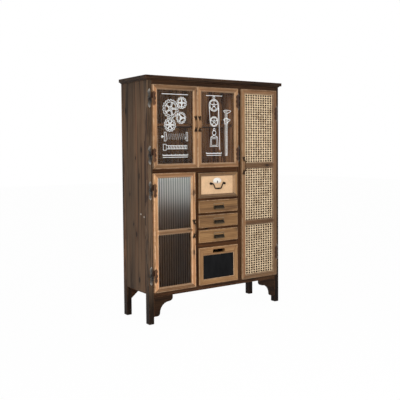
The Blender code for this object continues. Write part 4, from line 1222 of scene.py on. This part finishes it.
class CABINET_OT_stage(bpy.types.Operator):
    """Set the floor, the soft light and the camera"""

    bl_idname = "cabinet.stage"
    bl_label = "Set Stage"

    def softbox(self, name, at, to, width, height, power, rgb=WHITE):
        data = bpy.data.lights.new(name, "AREA")
        data.shape = "RECTANGLE"
        data.size, data.size_y = width, height
        data.energy = power
        data.color = rgb
        lamp = linked(name, data)
        lamp.location = at
        lamp.rotation_euler = (Vector(to) - Vector(at)).to_track_quat("-Z", "Y").to_euler()
        return lamp

    def execute(self, context):
        scene = context.scene
        view = scene.cabinet_stage
        scene.view_settings.view_transform = "Standard"
        clear_selection()
        bpy.ops.mesh.primitive_plane_add(size=30.0)
        floor = context.object
        floor.name = "studio_floor"
        net = Net("pale_floor")
        net.set(Base_Color=toned(WHITE, 0.90), Roughness=0.9, Specular_IOR_Level=0.1)
        net.end_in(net.mul(net.seen(), 0.98), net.shader, net.add("Emission"))
        floor.data.materials.append(net.owner)

        # an even light all round that looks white where it is seen
        net = Net(world=bpy.data.worlds.new("studio"))
        scene.world = net.owner
        net.set(Color=WHITE, Strength=view.sky)
        net.end_in(net.seen(), net.shader, net.add("Background", WHITE))

        self.softbox("tall_softbox", (-3.0, -3.2, 2.6), (0, 0, 0.9), 1.6, 2.0, view.key)
        self.softbox("overhead_softbox", (0.6, -1.6, 3.6), (0, 0, 0.8), 2.4, 1.6, view.fill)
        # the front softbox stays out of the panes' reflections
        front = self.softbox("front_softbox", (-1.0, -3.2, 1.0), (0, 0, 0.8), 1.2, 0.8, view.front)
        front.visible_glossy = False
        front.visible_transmission = False
        # a small near panel that only the reeded pane mirrors
        pale_green = (0.93, 0.98, 0.96)
        near = self.softbox(
            "reed_panel", (0.0, -0.71, 0.90), (-0.35, -0.16, 0.92), 0.5, 0.32, view.near, pale_green
        )
        mirrors = bpy.data.collections.new("mirrors_reed_panel")
        mirrors.objects.link(bpy.data.objects["reeded_glass"])
        near.light_linking.receiver_collection = mirrors

        data = bpy.data.cameras.new("photo_camera")
        camera = linked("photo_camera", data)
        data.sensor_width = 36.0
        data.lens = view.lens
        data.shift_y = view.rise
        turn = Matrix.Translation(view.camera_at)
        for angle, axis in ((-view.yaw, "Z"), (math.pi / 2 - view.pitch, "X"), (-view.roll, "Z")):
            turn = turn @ Matrix.Rotation(angle, 4, axis)
        camera.matrix_world = turn
        scene.camera = camera
        return {"FINISHED"}


MAKERS = (
    CABINET_OT_carcass, CABINET_OT_door_frames, CABINET_OT_drawers, CABINET_OT_clear_panes,
    CABINET_OT_reeded_pane, CABINET_OT_cane_panel, CABINET_OT_raffia_panel, CABINET_OT_slate_panel,
    CABINET_OT_hinges, CABINET_OT_bow_pulls, CABINET_OT_cup_pulls, CABINET_OT_bail_handle, CABINET_OT_stage,
)


class CABINET_PT_panel(bpy.types.Panel):
    """Lists the cabinet's values and makers"""

    bl_idname = "CABINET_PT_panel"
    bl_label = "Display Cabinet"
    bl_space_type = "VIEW_3D"
    bl_region_type = "UI"
    bl_category = "Cabinet"

    def draw(self, context):
        for group in GROUPS:
            values = getattr(context.scene, group)
            box = self.layout.box()
            for key in values.bl_rna.properties.keys():
                if key not in ("rna_type", "name"):
                    box.prop(values, key)
        for maker in MAKERS:
            self.layout.operator(maker.bl_idname)


GROUPS = {
    "cabinet_finishes": CabinetFinishes,
    "cabinet_sizes": CabinetSizes,
    "cabinet_stage": CabinetStage,
}
CLASSES = (*GROUPS.values(), *MAKERS, CABINET_PT_panel)


def register():
    for cls in CLASSES:
        bpy.utils.register_class(cls)
    for name, cls in GROUPS.items():
        setattr(bpy.types.Scene, name, PointerProperty(type=cls))


def unregister():
    for name in GROUPS:
        delattr(bpy.types.Scene, name)
    for cls in reversed(CLASSES):
        bpy.utils.unregister_class(cls)


def main():
    register()
    for maker in MAKERS:
        group, name = maker.bl_idname.split(".")
        getattr(getattr(bpy.ops, group), name)()


if __name__ == "__main__":
    main()
